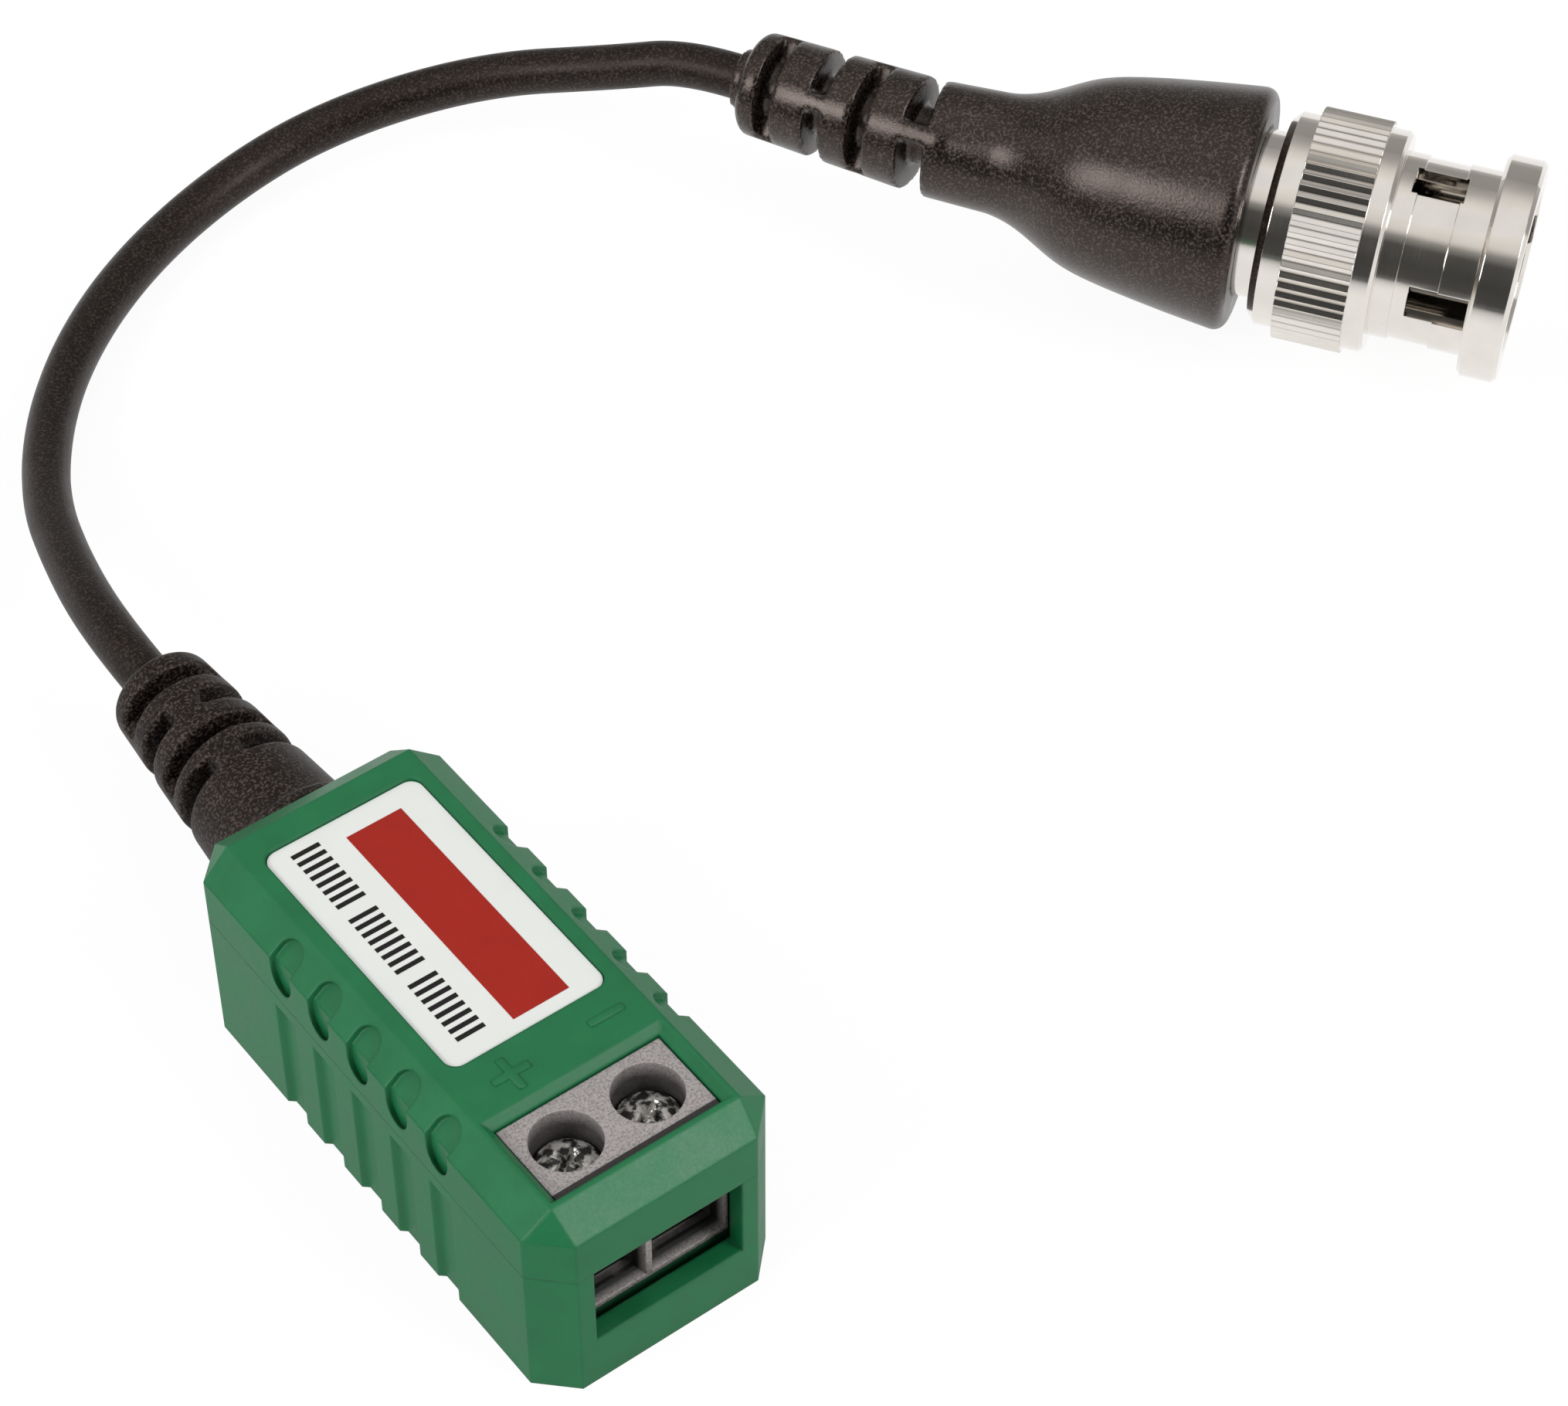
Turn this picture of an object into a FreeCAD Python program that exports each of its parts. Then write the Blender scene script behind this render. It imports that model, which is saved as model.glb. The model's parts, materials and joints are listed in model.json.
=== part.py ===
import FreeCAD, Part
import math
import os

# A passive video balun: a green two-part housing with a two-way screw terminal at its front,
# and a short lead with moulded strain reliefs to a plated bayonet plug.
# Frame: millimetres, +Z up, the housing stands on z = 0 with the middle of its base at the origin.
# The terminal end faces -Y and the lead leaves at +Y.

# Housing
housing_width = 15.2
housing_length = 33.5
housing_height = 13.7
parting_height = 9.2
shoulder_drop = 1.5
top_bevel = 1.75
corner_cut = 1.95
wall = 1.15
floor_thickness = 1.2
roof_thickness = 1.3
lip_height = 0.8
lip_thickness = 0.5
fit_gap = 0.05

# Finger grips on both sides
grip_count = 5
grip_pitch = 3.65
groove_floor = 1.35
groove_mouth = 1.95
groove_depth = 0.33
groove_margin = 1.15
scallop_width = 1.9
scallop_depth = 0.33
scallop_foot = 0.9
scallop_head = 0.35

# Label in its recess
label_width = 9.8
label_length = 18.05
label_thickness = 0.14
label_corner = 0.8
label_offset = 0.1
label_to_window = 4.15
recess_depth = 0.3
recess_gap = 0.06

# Terminal block
terminal_pitch = 5.08
terminal_depth = 6.5
terminal_drop = 0.6
terminal_shoulder = 3.8
terminal_setback = 0.7
plate_depth = 5.3
plate_setback = 0.55
plate_root = 0.4
screw_setback = 3.3
well_radius = 1.95
well_depth = 2.7
shaft_side = 3.86
shaft_roof = 0.5
entry_width = 4.1
entry_sill = 0.6
entry_height = 3.7
funnel_depth = 0.7
funnel_flare = 0.3
window_gap = 0.1
window_front_gap = 0.35
window_bevel = 0.45
window_bevel_depth = 0.5

# Wire opening in the housing's front
opening_width = 9.3
opening_sill = 3.45

# Terminal screws, rising clamps and fixed contacts
head_radius = 1.75
head_rim = 0.6
head_dome = 0.5
cross_width = 0.5
cross_length = 2.3
cross_depth = 0.75
shank_radius = 1.25
shank_tip = 0.3
turning_gap = 0.05
clamp_gap = 0.1
clamp_floor_gap = 0.2
clamp_base = 0.7
clamp_space = 2.7
clamp_top = 0.7
clamp_window = 2.5
clamp_edge = 0.3
wire_space = 2.1
contact_thickness = 0.5
contact_width = 2.0
contact_leg = 0.55
contact_setback = 0.3
pin_width = 0.9
pin_below_board = 0.6

# Circuit board and what is soldered to it
board_thickness = 1.0
board_rail = 0.9
board_gap = 0.25
board_rail_width = 1.25
board_rear_gap = 4.0
core_outer_radius = 3.5
core_inner_radius = 1.6
core_height = 2.8
core_round = 0.35
wire_diameter = 0.35
winding_gap = 0.03
turns_per_side = 5
turn_angle = 20.0
core_behind_terminal = 5.2
chip_length = 2.0
chip_width = 1.25
chip_height = 0.55
suppressor_length = 4.4
suppressor_width = 2.6
suppressor_height = 2.1
suppressor_tab = 0.2
disc_radius = 1.9
disc_thickness = 1.5
disc_leg = 0.6
lead_radius = 0.4
lead_spread = 0.9
lead_drop = 2.6

# Housing strain relief
relief_height = 6.4
relief_collar_radius = 4.9
relief_collar_length = 1.65
relief_neck_radius = 3.9
relief_flange_radius = 4.7
relief_flange_length = 1.2
relief_base_radius = 4.3
relief_tip_radius = 3.1
relief_length = 15.0
relief_lean = 1.2
relief_roll = 77.0
relief_web = 1.8
relief_slots = (5.5, 7.65, 10.3, 12.8)
slot_width = 1.1
core_radius = 1.85
relief_edge = 0.4

# Cable
cable_radius = 1.5
relief_run = 5.0
tail_run = 4.0

# Plug, along its own axis: zero at the boot's big end, positive towards the nose
boot_radius = 7.9
boot_length = 21.1
boot_neck_radius = 3.8
boot_neck_length = 4.4
boot_edge = 0.8
boot_waist = 9.5
boot_waist_radius = 6.0
boot_shoulder = 12.8
boot_shoulder_radius = 6.85
tail_length = 13.0
tail_root = 1.5
tail_tip_radius = 3.45
tail_bend = 9.0
tail_droop = 2.0
tail_roll = 40.0
tail_web = 1.25
tail_slots = (0.7, 4.3, 7.4, 11.0)
tail_slot_width = 1.15
tail_bead_radius = 2.0
tail_bead_length = 1.0

# Coupling nut
nut_start = 1.3
nut_rear_length = 1.8
nut_rear_radius = 6.9
nut_rear_bevel = 0.5
knurl_length = 4.45
knurl_radius = 7.5
knurl_depth = 0.2
knurl_count = 62
nut_ring_length = 1.35
nut_ring_radius = 7.15
sleeve_length = 6.1
sleeve_radius = 5.95
band_start = 1.3
band_length = 2.7
band_depth = 0.13
nut_flange_length = 2.5
nut_flange_radius = 7.15
nut_edge = 0.25
lip_hole_gap = 0.08
nut_lip_length = 1.15
nut_cavity_radius = 6.3
nut_cavity_length = 5.9
track_floor = 0.6
nut_bore_radius = 4.95
track_radius = 5.62
track_width = 2.2
track_count = 2
track_turn = -81.0
track_entry_angle = 175.0
entry_window_start = 2.2
entry_window_length = 3.8
detent_window_start = 0.9
detent_window_length = 3.3
window_width = 2.3
nut_travel = 0.5

# Plug body and what sits in it
hub_radius = 5.4
hub_depth_in_boot = 6.0
hub_shoulder = 1.9
ring_groove_depth = 0.5
ring_radius = 6.1
ring_thickness = 0.6
ring_gap_angle = 40.0
washer_radius = 6.15
washer_thickness = 0.3
washer_gap = 0.06
spring_gap = 0.12
spring_thickness = 0.22
spring_wave = 0.2
spring_waves = 3
contact_sleeve_radius = 4.05
contact_sleeve_wall = 0.65
contact_sleeve_recess = 1.6
contact_slit = 0.4
contact_slit_length = 5.5
contact_slits = 4
gasket_thickness = 0.9
gasket_inner_gap = 0.05
gasket_groove_depth = 0.3
gasket_groove_lead = 0.25
gasket_radius = 4.85
insulator_seat = 3.0
insulator_recess = 6.4
insulator_nose_radius = 2.2
insulator_nose = 1.5
insulator_tube_wall = 0.9
centre_pin_radius = 0.68
centre_pin_barrel = 0.9
centre_pin_back_gap = 1.0
centre_pin_recess = 0.5
centre_pin_point = 0.9

# Where the plug lies
plug_x = 77.55
plug_y = 26.1
plug_yaw = -54.3
table_gap = 0.01


def vector(x, y, z):
    return FreeCAD.Vector(x, y, z)


x_axis = vector(1, 0, 0)
y_axis = vector(0, 1, 0)
z_axis = vector(0, 0, 1)
origin = vector(0, 0, 0)


def box(x0, x1, y0, y1, z0, z1):
    return Part.makeBox(x1 - x0, y1 - y0, z1 - z0, vector(x0, y0, z0))


def closed_wire(points):
    return Part.makePolygon(points + [points[0]])


def prism(points, direction):
    return Part.Face(closed_wire(points)).extrude(direction)


def revolved(profile, angle=360):
    """A solid of revolution about the X axis from (station, radius) pairs."""
    points = [vector(s, 0, r) for s, r in profile]
    return Part.Face(closed_wire(points)).revolve(origin, x_axis, angle)


def moved(shape, offset):
    result = shape.copy()
    result.translate(offset)
    return result


def turned(shape, axis, angle, centre=origin):
    result = shape.copy()
    result.rotate(centre, axis, angle)
    return result


def mirrored(shape):
    return shape.mirror(origin, x_axis)


def tapered(low, high):
    """A solid between two matching outlines, with flat faces between them."""
    faces = [Part.Face(closed_wire(low)), Part.Face(closed_wire(high))]
    for i in range(len(low)):
        j = (i + 1) % len(low)
        faces.append(Part.Face(closed_wire([low[i], low[j], high[j], high[i]])))
    solid = Part.Solid(Part.Shell(faces))
    if solid.Volume < 0:
        solid.reverse()
    return solid


def rounded_plate(width, length, height, radius, centre):
    """A plate with rounded vertical corners, its base centred on a point."""
    plate = box(-width / 2, width / 2, -length / 2, length / 2, 0, height)
    upright = [e for e in plate.Edges if abs(e.Vertexes[0].Z - e.Vertexes[1].Z) > height / 2]
    return moved(plate.makeFillet(radius, upright), centre)


def obround(length, width, height, centre):
    """A round-ended bar along X, its base centred on a point."""
    half = (length - width) / 2
    bar = box(-half, half, -width / 2, width / 2, 0, height)
    for x in (-half, half):
        bar = bar.fuse(Part.makeCylinder(width / 2, height, vector(x, 0, 0)))
    return moved(bar.removeSplitter(), centre)


def tube(points, radius, report=""):
    """A round tube along straight runs joined by tangent arcs."""
    edges = []
    start = points[0]
    length = 0.0
    for before, corner, after in zip(points, points[1:], points[2:]):
        arriving = corner - before
        leaving = after - corner
        turn = arriving.getAngle(leaving)
        shorter = min(arriving.Length, leaving.Length)
        bend = 0.45 * shorter / math.tan(turn / 2)
        reach = 0.45 * shorter
        arriving.normalize()
        leaving.normalize()
        first = corner - arriving * reach
        last = corner + leaving * reach
        inward = leaving - arriving
        inward.normalize()
        middle = corner + inward * (bend / math.cos(turn / 2) - bend)
        edges.append(Part.LineSegment(start, first).toShape())
        edges.append(Part.Arc(first, middle, last).toShape())
        start = last
        if report:
            print(report, "bend radius", round(bend, 1), "turn", round(math.degrees(turn), 1))
    edges.append(Part.LineSegment(start, points[-1]).toShape())
    wire = Part.Wire(edges)
    length = wire.Length
    section = Part.Wire(Part.Circle(points[0], points[1] - points[0], radius).toShape())
    solid = wire.makePipeShell([section], True, False)
    if report:
        volume = math.pi * radius ** 2 * length
        print(report, "length", round(length, 2), "volume ratio", round(solid.Volume / volume, 4))
    return solid


# Housing form

shoulder_height = housing_height - shoulder_drop
half_width = housing_width / 2
half_length = housing_length / 2
front_face = -half_length
rear_face = half_length
inner_front = front_face + wall
inner_rear = rear_face - wall


def octagon(inset, z):
    """The housing's plan outline, moved inwards by an inset."""
    x = half_width - inset
    y = half_length - inset
    cut = corner_cut - inset * (2 - math.sqrt(2))
    corners = [(-x, -y + cut), (-x + cut, -y), (x - cut, -y), (x, -y + cut),
               (x, y - cut), (x - cut, y), (-x + cut, y), (-x, y - cut)]
    return [vector(px, py, z) for px, py in corners]


def housing_form(inset, roof, base):
    """The bevelled outer form, moved inwards by an inset and down by a roof thickness."""
    slope = (housing_height - shoulder_height) / top_bevel
    stretch = math.sqrt(1 + slope ** 2)
    shoulder = shoulder_height - inset * (stretch - slope)
    top = housing_height - roof
    edge = (top - shoulder_height + inset * stretch) / slope
    low = octagon(inset, shoulder)
    x = half_width - edge
    y = half_length - edge
    high = [vector(-x, -y, top), vector(x, -y, top), vector(x, y, top), vector(-x, y, top)]
    faces = [Part.Face(closed_wire(low)), Part.Face(closed_wire(high))]
    for i in range(4):
        faces.append(Part.Face(closed_wire([low[2 * i], low[2 * i + 1], high[i]])))
        following = (2 * i + 2) % 8
        faces.append(Part.Face(closed_wire([low[2 * i + 1], low[following], high[(i + 1) % 4], high[i]])))
    cap = Part.Solid(Part.Shell(faces))
    if cap.Volume < 0:
        cap.reverse()
    body = prism(octagon(inset, base), vector(0, 0, shoulder - base))
    return body.fuse(cap).removeSplitter()


def straight_form(inset, z0, z1):
    return prism(octagon(inset, z0), vector(0, 0, z1 - z0))


def grip_stations():
    return [(i - (grip_count - 1) / 2) * grip_pitch for i in range(grip_count)]


def side_groove(y):
    """One upright grip groove in the left side of the bottom cover."""
    outside = 0.2
    slant = (groove_mouth - groove_floor) / 2
    spread = slant * (groove_depth + outside) / groove_depth
    top = parting_height - groove_margin
    sections = []
    for x, half, z in ((-half_width - outside, groove_floor / 2 + spread, top + spread),
                       (-half_width + groove_depth, groove_floor / 2, top)):
        sections.append([vector(x, y - half, -1), vector(x, y + half, -1),
                         vector(x, y + half, z), vector(x, y - half, z)])
    return tapered(sections[0], sections[1])


def side_scallop(y, outer, inner):
    """One round-ended finger scallop across the left shoulder of the top cover."""
    high = housing_height - scallop_head
    run = (high - shoulder_height) * top_bevel / (housing_height - shoulder_height)
    up = (high - shoulder_height + run) / math.sqrt(2)
    down = (shoulder_height - parting_height - scallop_foot) / math.sqrt(2)
    reach = up + down
    slot = obround(up + down, scallop_width, 2 * reach, vector((up - down) / 2, 0, -reach))
    slot = turned(slot, y_axis, -45)
    slot = moved(slot, vector(-half_width, y, shoulder_height))
    return slot.common(outer).cut(inner)


# Terminal block places

terminal_half = terminal_pitch
terminal_front = inner_front + terminal_setback
terminal_rear = terminal_front + terminal_depth
plate_front = terminal_front + plate_setback
plate_rear = plate_front + plate_depth
screw_y = terminal_front + screw_setback
screw_places = {"left": -terminal_pitch / 2, "right": terminal_pitch / 2}
board_low = floor_thickness + board_rail
board_top = board_low + board_thickness
board_rear = inner_rear - board_rear_gap
terminal_top = housing_height - terminal_drop
well_floor = terminal_top - well_depth
shaft_top = well_floor - shaft_roof
entry_low = board_top + entry_sill
clamp_low = board_top + clamp_floor_gap
contact_low = clamp_low + clamp_base + wire_space
contact_top = contact_low + contact_thickness
window_half = terminal_half + window_gap
window_front = plate_front - window_front_gap
window_rear = plate_rear + window_gap
relief_hole_radius = relief_neck_radius + fit_gap


def relief_hole():
    depth = 2 * wall
    return Part.makeCylinder(relief_hole_radius, depth, vector(0, inner_rear - wall / 2, relief_height), y_axis)


def make_top_cover():
    outer = housing_form(0, 0, parting_height)
    cover = outer.cut(housing_form(wall, roof_thickness, parting_height - 1))
    rebate = straight_form(wall - lip_thickness - fit_gap, parting_height - 1,
                           parting_height + lip_height + fit_gap)
    cover = cover.cut(rebate)
    scallop_floor = housing_form(scallop_depth, 0, parting_height - 1)
    for y in grip_stations():
        left = side_scallop(y, outer, scallop_floor)
        cover = cover.cut(left).cut(mirrored(left))
    label_y = window_rear + label_to_window + label_length / 2
    recess = rounded_plate(label_width + 2 * recess_gap, label_length + 2 * recess_gap, 1,
                           label_corner, vector(label_offset, label_y, housing_height - recess_depth))
    cover = cover.cut(recess)
    hole = box(-window_half, window_half, window_front, window_rear, parting_height, housing_height + 1)
    low = housing_height - window_bevel_depth
    rise = window_bevel_depth + 0.2
    spread = window_bevel * rise / window_bevel_depth
    sections = []
    for z, grow in ((low, 0), (low + rise, spread)):
        sections.append([vector(-window_half - grow, window_front, z),
                         vector(window_half + grow, window_front, z),
                         vector(window_half + grow, window_rear + grow, z),
                         vector(-window_half - grow, window_rear + grow, z)])
    cover = cover.cut(hole).cut(tapered(sections[0], sections[1]))
    return cover.cut(relief_hole()).removeSplitter()


def make_bottom_cover():
    cover = straight_form(0, 0, parting_height)
    lip = straight_form(wall - lip_thickness, parting_height - 1, parting_height + lip_height)
    cover = cover.fuse(lip)
    cover = cover.cut(straight_form(wall, floor_thickness, housing_height))
    for y in grip_stations():
        left = side_groove(y)
        cover = cover.cut(left).cut(mirrored(left))
    opening = box(-opening_width / 2, opening_width / 2, front_face - 1, inner_front + 0.1,
                  opening_sill, housing_height)
    cover = cover.cut(opening)
    inner_half = half_width - wall
    rail = box(inner_half - board_rail_width, inner_half + 0.2, terminal_front + 1,
               board_rear - 1, floor_thickness - 0.2, board_low)
    cover = cover.fuse(rail).fuse(mirrored(rail))
    return cover.cut(relief_hole()).removeSplitter()


def make_label():
    label_y = window_rear + label_to_window + label_length / 2
    return rounded_plate(label_width, label_length, label_thickness, label_corner,
                         vector(label_offset, label_y, housing_height - recess_depth))


def make_terminal_body():
    """The two-way block: wire entries in front, a shaft for each clamp and a well for each screw."""
    shoulder = board_top + terminal_shoulder + entry_sill + funnel_flare
    root = housing_height - roof_thickness - plate_root
    profile = [vector(-terminal_half, terminal_front, board_top),
               vector(-terminal_half, terminal_rear, board_top),
               vector(-terminal_half, terminal_rear, shoulder),
               vector(-terminal_half, plate_rear, root),
               vector(-terminal_half, plate_rear, terminal_top),
               vector(-terminal_half, plate_front, terminal_top),
               vector(-terminal_half, plate_front, root),
               vector(-terminal_half, terminal_front, shoulder)]
    body = prism(profile, vector(2 * terminal_half, 0, 0))
    half = shaft_side / 2
    entry = entry_width / 2
    leg_front = screw_y + half
    slot = contact_width / 2 + fit_gap
    for x in screw_places.values():
        body = body.cut(Part.makeCylinder(well_radius, well_depth + 1, vector(x, screw_y, well_floor)))
        body = body.cut(Part.makeCylinder(shank_radius + turning_gap, 2 * shaft_roof,
                                          vector(x, screw_y, shaft_top - shaft_roof / 2)))
        body = body.cut(box(x - half, x + half, screw_y - half, screw_y + half, board_top - 1, shaft_top))
        body = body.cut(box(x - entry, x + entry, terminal_front - 1, screw_y, entry_low,
                            entry_low + entry_height))
        flare = []
        outside = 0.1
        for y, grow in ((terminal_front - outside, funnel_flare * (1 + outside / funnel_depth)),
                        (terminal_front + funnel_depth, 0)):
            low = entry_low - grow
            high = entry_low + entry_height + grow
            flare.append([vector(x - entry - grow, y, low), vector(x + entry + grow, y, low),
                          vector(x + entry + grow, y, high), vector(x - entry - grow, y, high)])
        body = body.cut(tapered(flare[0], flare[1]))
        body = body.cut(box(x - slot, x + slot, leg_front - fit_gap, leg_front + contact_leg + fit_gap,
                            board_top - 1, contact_top + fit_gap))
    return body.removeSplitter()


def make_screw(x):
    """A cross-head screw that stands in its well and bears on the fixed contact."""
    base = well_floor + turning_gap
    tip = contact_top + turning_gap
    rim = base + head_rim
    dome_radius = (head_radius ** 2 + head_dome ** 2) / (2 * head_dome)
    half_angle = math.asin(head_radius / dome_radius)
    mid = vector(dome_radius * math.sin(half_angle / 2), 0,
                 rim + head_dome - dome_radius * (1 - math.cos(half_angle / 2)))
    edges = [Part.LineSegment(vector(0, 0, tip), vector(shank_radius - shank_tip, 0, tip)),
             Part.LineSegment(vector(shank_radius - shank_tip, 0, tip), vector(shank_radius, 0, tip + shank_tip)),
             Part.LineSegment(vector(shank_radius, 0, tip + shank_tip), vector(shank_radius, 0, base)),
             Part.LineSegment(vector(shank_radius, 0, base), vector(head_radius, 0, base)),
             Part.LineSegment(vector(head_radius, 0, base), vector(head_radius, 0, rim)),
             Part.Arc(vector(head_radius, 0, rim), mid, vector(0, 0, rim + head_dome)),
             Part.LineSegment(vector(0, 0, rim + head_dome), vector(0, 0, tip))]
    outline = Part.Wire([edge.toShape() for edge in edges])
    screw = Part.Face(outline).revolve(origin, z_axis, 360)
    top = rim + head_dome
    half = cross_width / 2
    arm = cross_length / 2
    wing = prism([vector(-arm, -half, top + 0.1), vector(arm, -half, top + 0.1),
                  vector(half, -half, top - cross_depth), vector(-half, -half, top - cross_depth)],
                 vector(0, cross_width, 0))
    screw = screw.cut(wing).cut(turned(wing, z_axis, 90))
    return moved(turned(screw, z_axis, 20), vector(x, screw_y, 0))


def make_clamp(x):
    """A rising cage: a rectangular loop that the screw lifts towards the fixed contact."""
    half = shaft_side / 2 - clamp_gap
    high = clamp_low + clamp_base + clamp_space + clamp_top
    cage = box(x - half, x + half, screw_y - half, screw_y + half, clamp_low, high)
    upright = [e for e in cage.Edges if abs(e.Vertexes[0].Y - e.Vertexes[1].Y) > half]
    cage = cage.makeFillet(clamp_edge, upright)
    window = clamp_window / 2
    cage = cage.cut(box(x - window, x + window, screw_y - half - 1, screw_y + half + 1,
                        clamp_low + clamp_base, clamp_low + clamp_base + clamp_space))
    hole = Part.makeCylinder(shank_radius + turning_gap, 2 * clamp_top + 1,
                             vector(x, screw_y, high - clamp_top - 0.5))
    return cage.cut(hole)


def make_contact(x):
    """The fixed contact: a bar through the clamp, a leg behind it and a pin through the board."""
    half = contact_width / 2
    shaft_half = shaft_side / 2
    leg_front = screw_y + shaft_half
    bar = box(x - half, x + half, terminal_front + contact_setback, leg_front + contact_leg,
              contact_low, contact_top)
    leg = box(x - half, x + half, leg_front, leg_front + contact_leg, board_top, contact_top)
    pin_half = pin_width / 2
    pin = box(x - pin_half, x + pin_half, leg_front, leg_front + contact_leg,
              board_low - pin_below_board, board_top + 0.1)
    return bar.fuse(leg).fuse(pin).removeSplitter()


def make_board():
    board = straight_form(wall + board_gap, board_low, board_top)
    board = board.common(box(-half_width, half_width, terminal_front, board_rear, board_low, board_top))
    leg_front = screw_y + shaft_side / 2
    for x in screw_places.values():
        pin_half = pin_width / 2 + fit_gap
        board = board.cut(box(x - pin_half, x + pin_half, leg_front - fit_gap,
                              leg_front + contact_leg + fit_gap, board_low - 1, board_top + 1))
    return board


core_y = terminal_rear + core_behind_terminal
winding_base = board_top
core_low = winding_base + wire_diameter + winding_gap


def make_core():
    ring = Part.makeCylinder(core_outer_radius, core_height, vector(0, core_y, core_low))
    ring = ring.cut(Part.makeCylinder(core_inner_radius, core_height + 2, vector(0, core_y, core_low - 1)))
    rims = [e for e in ring.Edges if abs(e.Length - 2 * math.pi * core_outer_radius) < 0.01
            or abs(e.Length - 2 * math.pi * core_inner_radius) < 0.01]
    return ring.makeChamfer(core_round, rims)


def make_winding():
    """Turns of enamelled wire in two groups round the ring core."""
    inner_low = core_low - winding_gap
    inner_high = core_low + core_height + winding_gap
    near = core_inner_radius - winding_gap
    far = core_outer_radius + winding_gap
    half = wire_diameter / 2
    loop = box(near - wire_diameter, far + wire_diameter, -half, half,
               inner_low - wire_diameter, inner_high + wire_diameter)
    loop = loop.cut(box(near, far, -1, 1, inner_low, inner_high))
    turns = []
    for side in (0, 180):
        for i in range(turns_per_side):
            angle = side + (i - (turns_per_side - 1) / 2) * turn_angle
            turns.append(moved(turned(loop, z_axis, angle), vector(0, core_y, 0)))
    return Part.makeCompound(turns)


parts_row_y = core_y + core_outer_radius + wire_diameter + 2.2


def make_suppressor():
    x = -half_width + wall + board_gap + suppressor_width
    body = box(x - suppressor_width / 2, x + suppressor_width / 2, parts_row_y - suppressor_length / 2,
               parts_row_y + suppressor_length / 2, board_top, board_top + suppressor_height)
    tab = suppressor_tab
    tabs = box(x - suppressor_width / 3, x + suppressor_width / 3,
               parts_row_y - suppressor_length / 2 - 3 * tab, parts_row_y + suppressor_length / 2 + 3 * tab,
               board_top, board_top + tab)
    return body.fuse(tabs).removeSplitter()


def make_capacitor():
    x = half_width - wall - board_gap - disc_radius - 0.5
    centre = board_top + disc_leg + disc_radius
    disc = Part.makeCylinder(disc_radius, disc_thickness,
                             vector(x, parts_row_y - disc_thickness / 2, centre), y_axis)
    leg = 0.25
    shape = disc
    for side in (-1, 1):
        place = x + side * disc_radius / 2
        shape = shape.fuse(box(place - leg, place + leg, parts_row_y - leg, parts_row_y + leg,
                               board_top, centre))
    return shape.removeSplitter()


def make_resistor():
    y = parts_row_y
    body = box(-chip_width / 2, chip_width / 2, y - chip_length / 2, y + chip_length / 2,
               board_top, board_top + chip_height)
    return body


def make_lead(side):
    """A short lead from the cable's stripped end down to the board."""
    start = inner_rear - relief_flange_length
    x = side * lead_spread
    down_y = start - lead_drop
    return tube([vector(x, start, relief_height), vector(x, down_y, relief_height),
                 vector(x, down_y - lead_drop / 3, board_top)], lead_radius)


# Strain reliefs

def ribbed_tail(base_radius, tip_radius, length, root, slots, web, edge):
    """A tapered relief along +X, with a root behind it, whose cross slots alternate by a quarter turn."""
    tail = revolved([(-root, 0), (-root, base_radius), (0, base_radius), (length - edge, tip_radius),
                     (length, tip_radius - edge), (length, 0)])
    reach = 2 * base_radius
    for i, (start, end) in enumerate(slots):
        width = end - start
        disc = Part.makeCylinder(reach, width, vector(start, 0, 0), x_axis)
        keep = Part.makeCylinder(core_radius, width + 2, vector(start - 1, 0, 0), x_axis)
        spoke = box(start - 1, end + 1, -reach, reach, -web / 2, web / 2)
        slot = disc.cut(keep).cut(spoke)
        if i % 2 == 1:
            slot = turned(slot, x_axis, 90)
        tail = tail.cut(slot)
    return tail


def slot_spans(middles, width):
    return [(middle - width / 2, middle + width / 2) for middle in middles]


relief_start = vector(0, rear_face + relief_collar_length, relief_height)


def relief_direction():
    lean = math.radians(relief_lean)
    return vector(math.sin(lean), math.cos(lean), 0)


def place_relief(shape):
    """Turns a shape built along +X so that it runs along the leaning relief axis."""
    placed = turned(shape, x_axis, relief_roll)
    placed = turned(placed, z_axis, 90 - relief_lean)
    return moved(placed, relief_start)


def make_housing_relief():
    tail = place_relief(ribbed_tail(relief_base_radius, relief_tip_radius, relief_length, relief_edge,
                                    slot_spans(relief_slots, slot_width), relief_web, relief_edge))
    collar = Part.makeCylinder(relief_collar_radius, relief_collar_length,
                               vector(0, rear_face, relief_height), y_axis)
    outer = rear_face + relief_collar_length
    rim = [e for e in collar.Edges if abs(e.CenterOfMass.y - outer) < 0.01]
    collar = collar.makeFillet(relief_edge, rim)
    neck = Part.makeCylinder(relief_neck_radius, wall + 0.4, vector(0, inner_rear - 0.2, relief_height), y_axis)
    flange = Part.makeCylinder(relief_flange_radius, relief_flange_length,
                               vector(0, inner_rear - relief_flange_length, relief_height), y_axis)
    return collar.fuse(neck).fuse(flange).fuse(tail).removeSplitter()


relief_tip = relief_start + relief_direction() * relief_length


# Plug placement: the boot's rim and the nut's flange both touch the table

knurl_start = nut_start + nut_rear_length
nut_ring_start = knurl_start + knurl_length
sleeve_start = nut_ring_start + nut_ring_length
flange_start = sleeve_start + sleeve_length
nut_front = flange_start + nut_flange_length
tilt_span = nut_front - nut_edge + boot_edge
plug_tilt = math.atan2(boot_radius - nut_flange_radius, tilt_span)
plug_height = boot_radius * math.cos(plug_tilt) - boot_edge * math.sin(plug_tilt) + table_gap


def place_plug(shape):
    placed = turned(shape, y_axis, math.degrees(plug_tilt))
    placed = turned(placed, z_axis, plug_yaw)
    return moved(placed, vector(plug_x, plug_y, plug_height))


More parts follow.
